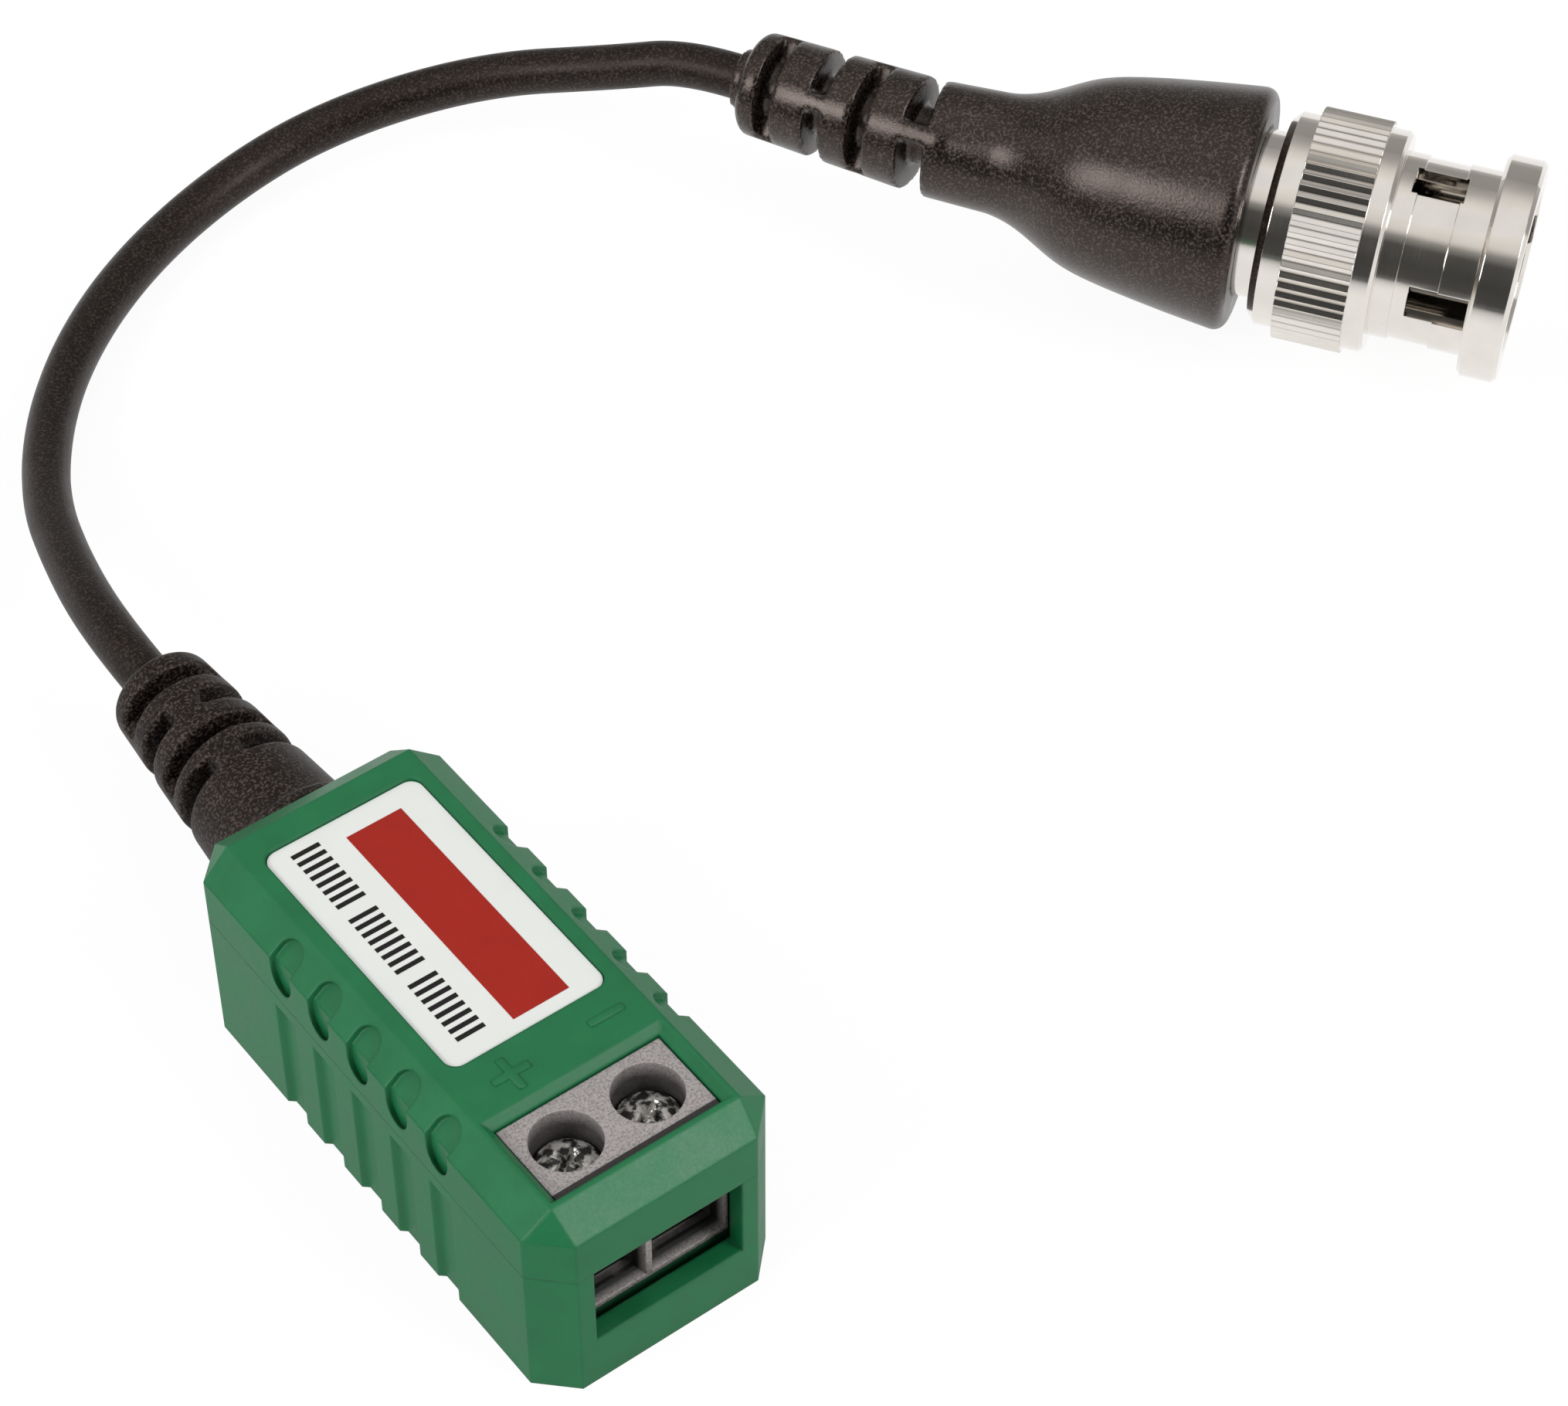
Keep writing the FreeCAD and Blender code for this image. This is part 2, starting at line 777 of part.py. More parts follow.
def tail_frame(shape):
    """Moves a shape built along +X to the bent strain relief behind the boot."""
    placed = turned(shape, x_axis, tail_roll)
    placed = turned(placed, z_axis, 180 - tail_bend)
    placed = turned(placed, y_axis, -tail_droop)
    return moved(placed, vector(-boot_length, 0, 0))


def tail_point(distance):
    """A point on the strain relief's axis, that far behind the boot."""
    return place_plug(tail_frame(Part.Vertex(vector(distance, 0, 0)))).Vertexes[0].Point


# Stations of the pieces inside the nut

washer_start = nut_start + nut_lip_length + washer_gap
spring_start = washer_start + washer_thickness + nut_travel + spring_gap
ring_groove_start = spring_start + 2 * spring_wave + spring_thickness
hub_front = ring_groove_start + ring_thickness + hub_shoulder
gasket_groove_radius = contact_sleeve_radius - gasket_groove_depth
gasket_groove_end = hub_front + gasket_thickness + gasket_groove_lead
contact_sleeve_front = nut_front - contact_sleeve_recess
contact_sleeve_bore = contact_sleeve_radius - contact_sleeve_wall
insulator_front = contact_sleeve_front - insulator_recess
insulator_nose_end = insulator_front + insulator_nose
insulator_tube = centre_pin_barrel + insulator_tube_wall
centre_pin_back = -hub_depth_in_boot + centre_pin_back_gap
centre_pin_front = contact_sleeve_front - centre_pin_recess


def make_boot():
    back = -boot_length
    neck = back + boot_neck_length
    curve = Part.BSplineCurve()
    curve.interpolate(Points=[vector(neck, 0, boot_neck_radius + 0.15),
                              vector(back + boot_waist, 0, boot_waist_radius),
                              vector(back + boot_shoulder, 0, boot_shoulder_radius),
                              vector(-boot_edge, 0, boot_radius)],
                      InitialTangent=vector(1, 0, 0.12), FinalTangent=vector(1, 0, 0.12))
    front = vector(0, 0, boot_radius - boot_edge)
    slant = boot_edge * (1 - 1 / math.sqrt(2))
    round_mid = vector(-slant, 0, boot_radius - slant)
    edges = [Part.LineSegment(vector(back, 0, 0), vector(back, 0, boot_neck_radius)),
             Part.LineSegment(vector(back, 0, boot_neck_radius), vector(neck, 0, boot_neck_radius + 0.15)),
             curve,
             Part.Arc(vector(-boot_edge, 0, boot_radius), round_mid, front),
             Part.LineSegment(front, origin),
             Part.LineSegment(origin, vector(back, 0, 0))]
    outline = Part.Wire([edge.toShape() for edge in edges])
    boot = Part.Face(outline).revolve(origin, x_axis, 360)
    spans = slot_spans(tail_slots, tail_slot_width)
    spans[0] = (-tail_root, spans[0][1])
    tail = ribbed_tail(boot_neck_radius, tail_tip_radius, tail_length, tail_root, spans, tail_web, relief_edge)
    bead = Part.makeCylinder(tail_bead_radius, tail_bead_length, vector(tail_length, 0, 0), x_axis)
    boot = boot.fuse(tail_frame(tail.fuse(bead)))
    socket = Part.makeCylinder(hub_radius, hub_depth_in_boot + 1, vector(-hub_depth_in_boot, 0, 0), x_axis)
    return place_plug(boot.cut(socket).removeSplitter())


def make_plug_body():
    """Hub, ring groove and slit contact sleeve turned from one bar."""
    back = -hub_depth_in_boot
    groove_end = ring_groove_start + ring_thickness
    groove = hub_radius - ring_groove_depth
    bore = contact_sleeve_bore
    front = contact_sleeve_front
    edge = contact_sleeve_wall / 3
    body = revolved([(back, insulator_tube), (back, hub_radius), (ring_groove_start, hub_radius),
                     (ring_groove_start, groove), (groove_end, groove), (groove_end, hub_radius),
                     (hub_front, hub_radius), (hub_front, gasket_groove_radius),
                     (gasket_groove_end, gasket_groove_radius), (gasket_groove_end, contact_sleeve_radius),
                     (front - edge, contact_sleeve_radius), (front, contact_sleeve_radius - edge),
                     (front, bore), (insulator_seat, bore), (insulator_seat, insulator_tube)])
    for i in range(contact_slits):
        slit = box(front - contact_slit_length, front + 1, -contact_slit / 2, contact_slit / 2, 0,
                   contact_sleeve_radius + 1)
        body = body.cut(turned(slit, x_axis, 45 + i * 360 / contact_slits))
    return place_plug(body)


def make_insulator():
    """The insulator: a tube through the hub, a disc in the sleeve and a nose round the pin."""
    shape = revolved([(-hub_depth_in_boot, 0), (-hub_depth_in_boot, insulator_tube),
                      (insulator_seat, insulator_tube), (insulator_seat, contact_sleeve_bore),
                      (insulator_front, contact_sleeve_bore), (insulator_front, insulator_nose_radius),
                      (insulator_nose_end, insulator_nose_radius), (insulator_nose_end, centre_pin_barrel),
                      (centre_pin_back, centre_pin_barrel), (centre_pin_back, 0)])
    return place_plug(shape)


def make_centre_pin():
    """The pin: a solder barrel held in the insulator and a pointed contact in front of it."""
    return place_plug(revolved([(centre_pin_back, 0), (centre_pin_back, centre_pin_barrel),
                                (insulator_nose_end, centre_pin_barrel), (insulator_nose_end, centre_pin_radius),
                                (centre_pin_front - centre_pin_point, centre_pin_radius),
                                (centre_pin_front, centre_pin_radius / 3), (centre_pin_front, 0)]))


def ring(start, thickness, inner, outer):
    return revolved([(start, inner), (start, outer), (start + thickness, outer), (start + thickness, inner)])


def make_gasket():
    return place_plug(ring(hub_front, gasket_thickness, gasket_groove_radius + gasket_inner_gap, gasket_radius))


def make_retaining_ring():
    clip = ring(ring_groove_start, ring_thickness, hub_radius - ring_groove_depth, ring_radius)
    half = math.radians(ring_gap_angle / 2)
    reach = 2 * ring_radius
    wedge = prism([vector(ring_groove_start - 1, 0, 0),
                   vector(ring_groove_start - 1, reach * math.sin(half), -reach * math.cos(half)),
                   vector(ring_groove_start - 1, -reach * math.sin(half), -reach * math.cos(half))],
                  vector(ring_thickness + 2, 0, 0))
    return place_plug(clip.cut(wedge))


def make_thrust_washer():
    return place_plug(ring(washer_start, washer_thickness, hub_radius + washer_gap, washer_radius))


def make_spring_washer():
    """A wavy ring that rests against the retaining ring."""
    inner = hub_radius + washer_gap
    outer = washer_radius
    steps = 8 * spring_waves
    middle = ring_groove_start - spring_thickness / 2 - spring_wave
    edges = {}
    for radius in (inner, outer):
        for offset in (-spring_thickness / 2, spring_thickness / 2):
            points = []
            for i in range(steps):
                angle = 2 * math.pi * i / steps
                station = middle + offset + spring_wave * math.cos(spring_waves * angle)
                points.append(vector(station, radius * math.cos(angle), radius * math.sin(angle)))
            curve = Part.BSplineCurve()
            curve.interpolate(Points=points, PeriodicFlag=True)
            edges[radius, offset > 0] = curve.toShape()
    faces = [Part.makeRuledSurface(edges[inner, False], edges[outer, False]),
             Part.makeRuledSurface(edges[inner, True], edges[outer, True]),
             Part.makeRuledSurface(edges[inner, False], edges[inner, True]),
             Part.makeRuledSurface(edges[outer, False], edges[outer, True])]
    shell = Part.Shell(faces)
    shell.sewShape()
    solid = Part.Solid(shell)
    if solid.Volume < 0:
        solid.reverse()
    return place_plug(solid)


# Coupling nut

def knurl_cutter():
    """Straight V grooves round the knurled ring, as one toothed tube."""
    reach = knurl_radius + 1
    points = []
    for i in range(knurl_count):
        for shift, radius in ((0, knurl_radius), (0.5, knurl_radius - knurl_depth)):
            angle = 2 * math.pi * (i + shift) / knurl_count
            points.append(vector(knurl_start, radius * math.cos(angle), radius * math.sin(angle)))
    star = prism(points, vector(knurl_length, 0, 0))
    blank = Part.makeCylinder(reach, knurl_length, vector(knurl_start, 0, 0), x_axis)
    return blank.cut(star)


def radial_block(start, length, width, inner, outer, angle):
    """A block that crosses the nut's wall at an angle round its axis."""
    block = box(start, start + length, inner, outer, -width / 2, width / 2)
    return turned(block, x_axis, angle)


def ramp_cutter(entry_station, detent_station, angle):
    """The sloping part of a bayonet track, as overlapping stud-sized steps."""
    cutter = None
    steps = 9
    inner = nut_bore_radius - track_floor
    for i in range(steps + 1):
        share = i / steps
        station = entry_station + (detent_station - entry_station) * share
        stud = Part.makeCylinder(track_width / 2, track_radius - inner, vector(0, inner, 0), y_axis)
        stud = turned(moved(stud, vector(station, 0, 0)), x_axis, angle + track_turn * share)
        cutter = stud if cutter is None else cutter.fuse(stud)
    return cutter


def make_coupling_nut():
    lip_hole = hub_radius + lip_hole_gap
    cavity_start = nut_start + nut_lip_length
    cavity_end = cavity_start + nut_cavity_length
    band = sleeve_start + band_start
    low_band = sleeve_radius - band_depth
    nut = revolved([(nut_start, lip_hole), (nut_start, nut_rear_radius - nut_rear_bevel),
                    (nut_start + nut_rear_bevel, nut_rear_radius), (knurl_start, nut_rear_radius),
                    (knurl_start, knurl_radius), (nut_ring_start, knurl_radius),
                    (nut_ring_start, nut_ring_radius), (sleeve_start - nut_edge, nut_ring_radius),
                    (sleeve_start, nut_ring_radius - nut_edge), (sleeve_start, sleeve_radius),
                    (band, sleeve_radius), (band, low_band), (band + band_length, low_band),
                    (band + band_length, sleeve_radius), (flange_start, sleeve_radius),
                    (flange_start, nut_flange_radius - nut_edge), (flange_start + nut_edge, nut_flange_radius),
                    (nut_front - nut_edge, nut_flange_radius), (nut_front, nut_flange_radius - nut_edge),
                    (nut_front, nut_bore_radius + nut_edge), (nut_front - nut_edge, nut_bore_radius),
                    (cavity_end, nut_bore_radius), (cavity_end, nut_cavity_radius),
                    (cavity_start, nut_cavity_radius), (cavity_start, lip_hole)])
    nut = nut.cut(knurl_cutter())
    inner = nut_bore_radius - track_floor
    entry_station = sleeve_start + entry_window_start + track_width / 2
    detent_station = sleeve_start + detent_window_start + track_width / 2
    for i in range(track_count):
        angle = track_entry_angle + i * 360 / track_count
        entry = radial_block(entry_station, nut_front - entry_station + 1, track_width, inner,
                             track_radius, angle)
        front_window = radial_block(sleeve_start + entry_window_start, entry_window_length, window_width,
                                    inner, sleeve_radius + 0.2, angle)
        rear_window = radial_block(sleeve_start + detent_window_start, detent_window_length, window_width,
                                   inner, sleeve_radius + 0.2, angle + track_turn)
        nut = nut.cut(entry).cut(ramp_cutter(entry_station, detent_station, angle))
        nut = nut.cut(front_window).cut(rear_window)
    return place_plug(nut)


# Cable: it leaves one strain relief, lies on the table and rises to the other

tail_end = tail_length + tail_bead_length
cable_route = [relief_tip,
               relief_tip + relief_direction() * relief_run,
               vector(1.9, 46.1, 4.9),
               vector(4.9, 55.35, 2.75),
               vector(11.15, 64.3, 1.65),
               vector(19.4, 70.7, 1.52),
               vector(29.3, 74.75, 1.54),
               vector(38.3, 74.5, 3.2),
               vector(47.6, 69.9, 5.6),
               vector(54.0, 62.85, 7.6),
               tail_point(tail_end + tail_run),
               tail_point(tail_end)]


def save(name, shape):
    print(name, "solids", len(shape.Solids), "valid", shape.isValid(), "volume", round(shape.Volume, 2))
    shape.exportStep("parts/" + name + ".step")


os.makedirs("parts", exist_ok=True)
save("top_cover", make_top_cover())
save("bottom_cover", make_bottom_cover())
save("label", make_label())
save("terminal_body", make_terminal_body())
for side_name, side_x in screw_places.items():
    save("terminal_screw_" + side_name, make_screw(side_x))
    save("wire_clamp_" + side_name, make_clamp(side_x))
    save("terminal_contact_" + side_name, make_contact(side_x))
save("circuit_board", make_board())
save("transformer_core", make_core())
save("transformer_winding", make_winding())
save("surge_suppressor", make_suppressor())
save("ceramic_capacitor", make_capacitor())
save("chip_resistor", make_resistor())
save("core_lead", make_lead(1))
save("shield_lead", make_lead(-1))
save("housing_strain_relief", make_housing_relief())
save("cable", tube(cable_route, cable_radius, "cable"))
save("plug_boot", make_boot())
save("plug_body", make_plug_body())
save("plug_insulator", make_insulator())
save("plug_centre_pin", make_centre_pin())
save("plug_gasket", make_gasket())
save("retaining_ring", make_retaining_ring())
save("spring_washer", make_spring_washer())
save("thrust_washer", make_thrust_washer())
save("coupling_nut", make_coupling_nut())
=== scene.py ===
import json
import math

import bmesh
import bpy
from mathutils import Matrix, Vector


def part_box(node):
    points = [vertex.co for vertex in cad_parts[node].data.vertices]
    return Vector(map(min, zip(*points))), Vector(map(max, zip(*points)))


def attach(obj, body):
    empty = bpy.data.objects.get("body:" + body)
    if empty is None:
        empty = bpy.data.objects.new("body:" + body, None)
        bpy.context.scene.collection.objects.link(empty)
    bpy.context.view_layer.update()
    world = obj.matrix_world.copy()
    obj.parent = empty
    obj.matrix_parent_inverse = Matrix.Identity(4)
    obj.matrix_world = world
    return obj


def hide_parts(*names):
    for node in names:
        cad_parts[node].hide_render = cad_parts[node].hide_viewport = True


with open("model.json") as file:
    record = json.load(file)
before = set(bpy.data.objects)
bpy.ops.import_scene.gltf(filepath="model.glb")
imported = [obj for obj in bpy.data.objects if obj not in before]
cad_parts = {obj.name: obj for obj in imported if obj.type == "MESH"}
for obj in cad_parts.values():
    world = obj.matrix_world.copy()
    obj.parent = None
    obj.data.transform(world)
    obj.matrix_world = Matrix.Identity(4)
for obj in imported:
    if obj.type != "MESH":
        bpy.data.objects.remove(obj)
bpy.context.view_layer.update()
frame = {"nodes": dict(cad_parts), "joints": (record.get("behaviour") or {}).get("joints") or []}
nodes = frame["nodes"]
scene = bpy.context.scene
scene.view_settings.view_transform = "Standard"
mm = 0.001
print("frame loaded:", len(nodes), "nodes")


# Camera, at the photograph's angle

cameraSetup = {
    "place": (-0.073281, -0.121968, 0.183632),
    "right": (0.795678, -0.605715, 0.002312),
    "up": (0.439205, 0.579568, 0.686440),
    "back": (-0.417127, -0.545170, 0.727183),
    "sensor": 36.0,
    "lens": 97.54,
    "nearClip": 0.005,
    "farClip": 20,
}


def makeCamera():
    data = bpy.data.cameras.new("photoCamera")
    data.sensor_fit = "HORIZONTAL"
    data.sensor_width = cameraSetup["sensor"]
    data.lens = cameraSetup["lens"]
    data.clip_start = cameraSetup["nearClip"]
    data.clip_end = cameraSetup["farClip"]
    camera = bpy.data.objects.new("photoCamera", data)
    scene.collection.objects.link(camera)
    turn = Matrix((cameraSetup["right"], cameraSetup["up"], cameraSetup["back"])).transposed()
    camera.matrix_world = Matrix.Translation(cameraSetup["place"]) @ turn.to_4x4()
    scene.camera = camera


makeCamera()
print("camera placed")


# Cable: one smooth spline from the housing's strain relief to the plug's

cableSetup = {
    "route": [
        (0.314, 33.397, 6.4), (0.419, 38.396, 6.4), (1.9, 46.1, 4.9), (4.9, 55.35, 2.75),
        (11.15, 64.3, 1.65), (19.4, 70.7, 1.52), (29.3, 74.75, 1.54), (38.3, 74.5, 3.2),
        (47.6, 69.9, 5.6), (54.0, 62.85, 7.6), (57.161, 59.301, 8.864), (58.958, 55.727, 8.838),
    ],
    "radius": 1.5,
    "length": 0.0926,
    "order": 3,
    "stepsAlong": 12,
    "stepsRound": 8,
}


def makeCable():
    curve = bpy.data.curves.new("coaxCable", "CURVE")
    curve.dimensions = "3D"
    spline = curve.splines.new("NURBS")
    spline.points.add(len(cableSetup["route"]) - 1)
    for point, place in zip(spline.points, cableSetup["route"]):
        point.co = (place[0] * mm, place[1] * mm, place[2] * mm, 1)
    spline.order_u = cableSetup["order"]
    spline.use_endpoint_u = True
    spline.resolution_u = cableSetup["stepsAlong"]
    curve.bevel_depth = cableSetup["radius"] * mm
    curve.bevel_resolution = cableSetup["stepsRound"]
    curve.use_fill_caps = True
    piece = bpy.data.objects.new("coaxCable", curve)
    scene.collection.objects.link(piece)
    return piece


cable = makeCable()
print("cable laid")


# Material helpers. linear() turns a colour as a screen shows it into one as light

def linear(red, green, blue):
    parts = []
    for value in (red, green, blue):
        share = value / 255
        parts.append(share / 12.92 if share <= 0.04045 else ((share + 0.055) / 1.055) ** 2.4)
    return (parts[0], parts[1], parts[2], 1)


def toned(colour, gain):
    return (min(colour[0] * gain, 1), min(colour[1] * gain, 1), min(colour[2] * gain, 1), 1)


def startMaterial(name, metallic=0.0, specular=0.5, tint=(1, 1, 1, 1)):
    material = bpy.data.materials.new(name)
    material.use_nodes = True
    tree = material.node_tree
    surface = tree.nodes["Principled BSDF"]
    surface.inputs["Metallic"].default_value = metallic
    surface.inputs["Specular IOR Level"].default_value = specular
    surface.inputs["Specular Tint"].default_value = tint
    return material, tree, surface


def objectPoint(tree, stretch=(1, 1, 1)):
    source = tree.nodes.new("ShaderNodeTexCoord")
    mapping = tree.nodes.new("ShaderNodeMapping")
    mapping.inputs["Scale"].default_value = stretch
    tree.links.new(source.outputs["Object"], mapping.inputs["Vector"])
    return mapping.outputs["Vector"]


def noiseOf(tree, point, scale, detail, rough=0.5):
    node = tree.nodes.new("ShaderNodeTexNoise")
    node.inputs["Scale"].default_value = scale
    node.inputs["Detail"].default_value = detail
    node.inputs["Roughness"].default_value = rough
    tree.links.new(point, node.inputs["Vector"])
    return node.outputs["Fac"]


def rangeOf(tree, value, fromLow, fromHigh, toLow, toHigh):
    node = tree.nodes.new("ShaderNodeMapRange")
    node.inputs["From Min"].default_value = fromLow
    node.inputs["From Max"].default_value = fromHigh
    node.inputs["To Min"].default_value = toLow
    node.inputs["To Max"].default_value = toHigh
    tree.links.new(value, node.inputs["Value"])
    return node.outputs["Result"]


def mathOf(tree, operation, *values):
    node = tree.nodes.new("ShaderNodeMath")
    node.operation = operation
    for socket, value in zip(node.inputs, values):
        if isinstance(value, (int, float)):
            socket.default_value = value
        else:
            tree.links.new(value, socket)
    return node.outputs["Value"]


def mixOf(tree, factor, first, second):
    node = tree.nodes.new("ShaderNodeMix")
    node.data_type = "RGBA"
    for name, value in (("A", first), ("B", second)):
        socket = [each for each in node.inputs if each.name == name and each.type == "RGBA"][0]
        if isinstance(value, tuple):
            socket.default_value = value
        else:
            tree.links.new(value, socket)
    tree.links.new(factor, node.inputs["Factor"])
    return [each for each in node.outputs if each.type == "RGBA"][0]


bevelSamples = 6


def easedEdge(tree, radius):
    node = tree.nodes.new("ShaderNodeBevel")
    node.samples = bevelSamples
    node.inputs["Radius"].default_value = radius
    return node.outputs["Normal"]


def relief(tree, height, strength, distance, under):
    node = tree.nodes.new("ShaderNodeBump")
    node.inputs["Strength"].default_value = strength
    node.inputs["Distance"].default_value = distance
    tree.links.new(height, node.inputs["Height"])
    if under is not None:
        tree.links.new(under, node.inputs["Normal"])
    return node.outputs["Normal"]


# Moulded plastics, vinyl and print share one build: mottled colour, uneven gloss, fine grain

mouldedSetup = {
    "detail": 3, "grainRough": 0.6, "mottleFrom": 0.3, "mottleTo": 0.7, "gritFrom": 0.36, "gritTo": 0.52,
    "gritTone": 0.35, "speckTone": 1.5, "unevenFrom": 0.2, "unevenTo": 0.8, "cloudGloss": 0.05,
    "grainGloss": 0.06, "waveHeight": 0.05,
}
plainLook = {"specular": 0.5, "tint": (1, 1, 1, 1), "speckFrom": 0.45, "speckTo": 0.8, "rise": 0.02}


def mouldedMaterial(name, ownLook):
    look = {**plainLook, **ownLook}
    material, tree, surface = startMaterial(name, 0.0, look["specular"], look["tint"])
    point = objectPoint(tree)
    cloud = noiseOf(tree, point, 1 / (look["cloud"] * mm), mouldedSetup["detail"])
    fine = noiseOf(tree, point, 1 / (look["grain"] * mm), mouldedSetup["detail"], mouldedSetup["grainRough"])
    mottle = rangeOf(tree, cloud, mouldedSetup["mottleFrom"], mouldedSetup["mottleTo"], 0.0, 1.0)
    darker = toned(look["colour"], 1 - look["mottle"])
    lighter = toned(look["colour"], 1 + look["mottle"])
    body = mixOf(tree, mottle, darker, lighter)
    speck = rangeOf(tree, fine, look["speckFrom"], look["speckTo"], 0.0, look["speck"])
    speckColour = look.get("speckColour", toned(look["colour"], mouldedSetup["speckTone"]))
    colour = mixOf(tree, speck, body, speckColour)
    if "grit" in look:
        grit = rangeOf(tree, fine, mouldedSetup["gritFrom"], mouldedSetup["gritTo"], look["grit"], 0)
        colour = mixOf(tree, grit, colour, toned(look["colour"], mouldedSetup["gritTone"]))
    # Painted light and shade: where the lit share is low the colour is mixed towards a darkened copy of
    # itself
    if "lit" in look:
        colour = mixOf(tree, look["lit"](tree), toned(look["colour"], look["unlit"]), colour)
    tree.links.new(colour, surface.inputs["Base Color"])
    start, end = mouldedSetup["unevenFrom"], mouldedSetup["unevenTo"]
    cloudGloss, grainGloss = mouldedSetup["cloudGloss"], mouldedSetup["grainGloss"]
    broad = rangeOf(tree, cloud, start, end, -cloudGloss, cloudGloss)
    local = rangeOf(tree, fine, start, end, look["rough"] - grainGloss, look["rough"] + grainGloss)
    tree.links.new(mathOf(tree, "ADD", broad, local), surface.inputs["Roughness"])
    edge = easedEdge(tree, look["edge"] * mm) if "edge" in look else None
    low = relief(tree, cloud, look["wave"], mouldedSetup["waveHeight"] * mm, edge)
    tree.links.new(relief(tree, fine, look["bump"], look["rise"] * mm, low), surface.inputs["Normal"])
    return material


# Painted shade on the terminal: how much of its colour is kept, full at its top and front faces, painted dark
# inside its wells and entries, and painted dark along the top's front edge, where the plate ends in its own
# shaded face

terminalPaintedShade = {
    "topDepth": 1.1, "topSkin": 0.04, "topLow": 0.18, "frontSkin": 0.05, "frontDepth": 0.5, "frontLow": 0.02,
    "edgeSetback": 0.55, "edgeDark": 0.34, "edgeFade": 0.05, "edgeLow": 0.05,
}


def terminalPaintedLight(tree):
    low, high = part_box("terminal_body")
    split = tree.nodes.new("ShaderNodeSeparateXYZ")
    tree.links.new(objectPoint(tree), split.inputs[0])
    along = split.outputs["Y"]
    shade = terminalPaintedShade
    deep, skin = high.z - shade["topDepth"] * mm, high.z - shade["topSkin"] * mm
    fromTop = rangeOf(tree, split.outputs["Z"], deep, skin, shade["topLow"], 1)
    fromFront = rangeOf(tree, along, low.y + shade["frontSkin"] * mm, low.y + shade["frontDepth"] * mm,
                        1, shade["frontLow"])
    edge = low.y + (shade["edgeSetback"] + shade["edgeDark"]) * mm
    fromEdge = rangeOf(tree, along, edge, edge + shade["edgeFade"] * mm, shade["edgeLow"], 1)
    return mathOf(tree, "MAXIMUM", mathOf(tree, "MULTIPLY", fromTop, fromEdge), fromFront)


greenLook = {"colour": linear(18, 109, 64), "mottle": 0.08, "cloud": 2.4, "grain": 0.16, "rough": 0.42,
             "wave": 0.12, "bump": 0.22, "speck": 0.05, "edge": 0.25, "specular": 0.4, "grit": 0.05}
warmTint = (1, 0.83, 0.76, 1)
reliefLook = {"colour": linear(16, 11, 10), "mottle": 0.14, "cloud": 2.2, "grain": 0.17, "rough": 0.46,
              "wave": 0.35, "bump": 1.0, "rise": 0.035, "speck": 1.0, "speckFrom": 0.5, "speckTo": 0.62,
              "speckColour": linear(76, 66, 61), "tint": warmTint, "specular": 0.3, "grit": 1.0}
bootLook = {"colour": linear(16, 11, 9), "mottle": 0.08, "cloud": 3.0, "grain": 0.17, "rough": 0.30,
            "wave": 0.2, "bump": 1.0, "rise": 0.018, "speck": 1.0, "speckFrom": 0.5, "speckTo": 0.64,
            "speckColour": linear(74, 65, 60), "tint": warmTint, "specular": 0.55, "grit": 1.0}
jacketLook = {"colour": linear(20, 15, 13), "mottle": 0.06, "cloud": 2.5, "grain": 0.17, "rough": 0.42,
              "wave": 0.15, "bump": 1.0, "rise": 0.025, "speck": 0.9, "speckFrom": 0.5, "speckTo": 0.64,
              "speckColour": linear(60, 52, 48), "specular": 0.3, "tint": warmTint, "grit": 0.9}
# The terminal's grey carries painted shade in its wells, entries and along the top's front edge
terminalLook = {"colour": linear(158, 151, 150), "mottle": 0.03, "cloud": 1.6, "grain": 0.13, "rough": 0.36,
                "wave": 0.12, "bump": 0.5, "speck": 0.6, "edge": 0.12, "lit": terminalPaintedLight, "unlit": 0.02,
                "grit": 0.55}
labelLook = {"colour": linear(229, 231, 227), "mottle": 0.012, "cloud": 2.6, "grain": 0.10, "rough": 0.38,
             "wave": 0.10, "bump": 0.12, "speck": 0.05, "specular": 0.4}
redLook = {"colour": linear(161, 28, 12), "mottle": 0.03, "cloud": 1.4, "grain": 0.09, "rough": 0.36,
           "wave": 0.08, "bump": 0.15, "speck": 0.08, "specular": 0.3, "grit": 0.08}
inkLook = {"colour": linear(22, 20, 20), "mottle": 0.03, "cloud": 1.2, "grain": 0.08, "rough": 0.40,
           "wave": 0.05, "bump": 0.12, "speck": 0.1, "specular": 0.3}
insulatorLook = {"colour": linear(232, 229, 221), "mottle": 0.02, "cloud": 2.0, "grain": 0.12, "rough": 0.35,
                 "wave": 0.1, "bump": 0.15, "speck": 0.05}
gasketLook = {"colour": linear(150, 62, 44), "mottle": 0.04, "cloud": 1.5, "grain": 0.12, "rough": 0.55,
              "wave": 0.15, "bump": 0.3, "speck": 0.2}
boardLook = {"colour": linear(38, 92, 62), "mottle": 0.08, "cloud": 1.1, "grain": 0.10, "rough": 0.32,
             "wave": 0.1, "bump": 0.3, "speck": 0.3}
ferriteLook = {"colour": linear(52, 50, 52), "mottle": 0.08, "cloud": 1.2, "grain": 0.08, "rough": 0.55,
               "wave": 0.3, "bump": 0.6, "speck": 0.5}
epoxyLook = {"colour": linear(34, 34, 37), "mottle": 0.06, "cloud": 0.8, "grain": 0.07, "rough": 0.45,
             "wave": 0.1, "bump": 0.5, "speck": 0.3}
ceramicLook = {"colour": linear(196, 128, 52), "mottle": 0.08, "cloud": 0.9, "grain": 0.2, "rough": 0.22,
               "wave": 0.4, "bump": 0.1, "speck": 0.1}
leadLook = {"colour": linear(214, 209, 199), "mottle": 0.03, "cloud": 1.2, "grain": 0.12, "rough": 0.30,
            "wave": 0.1, "bump": 0.15, "speck": 0.1}

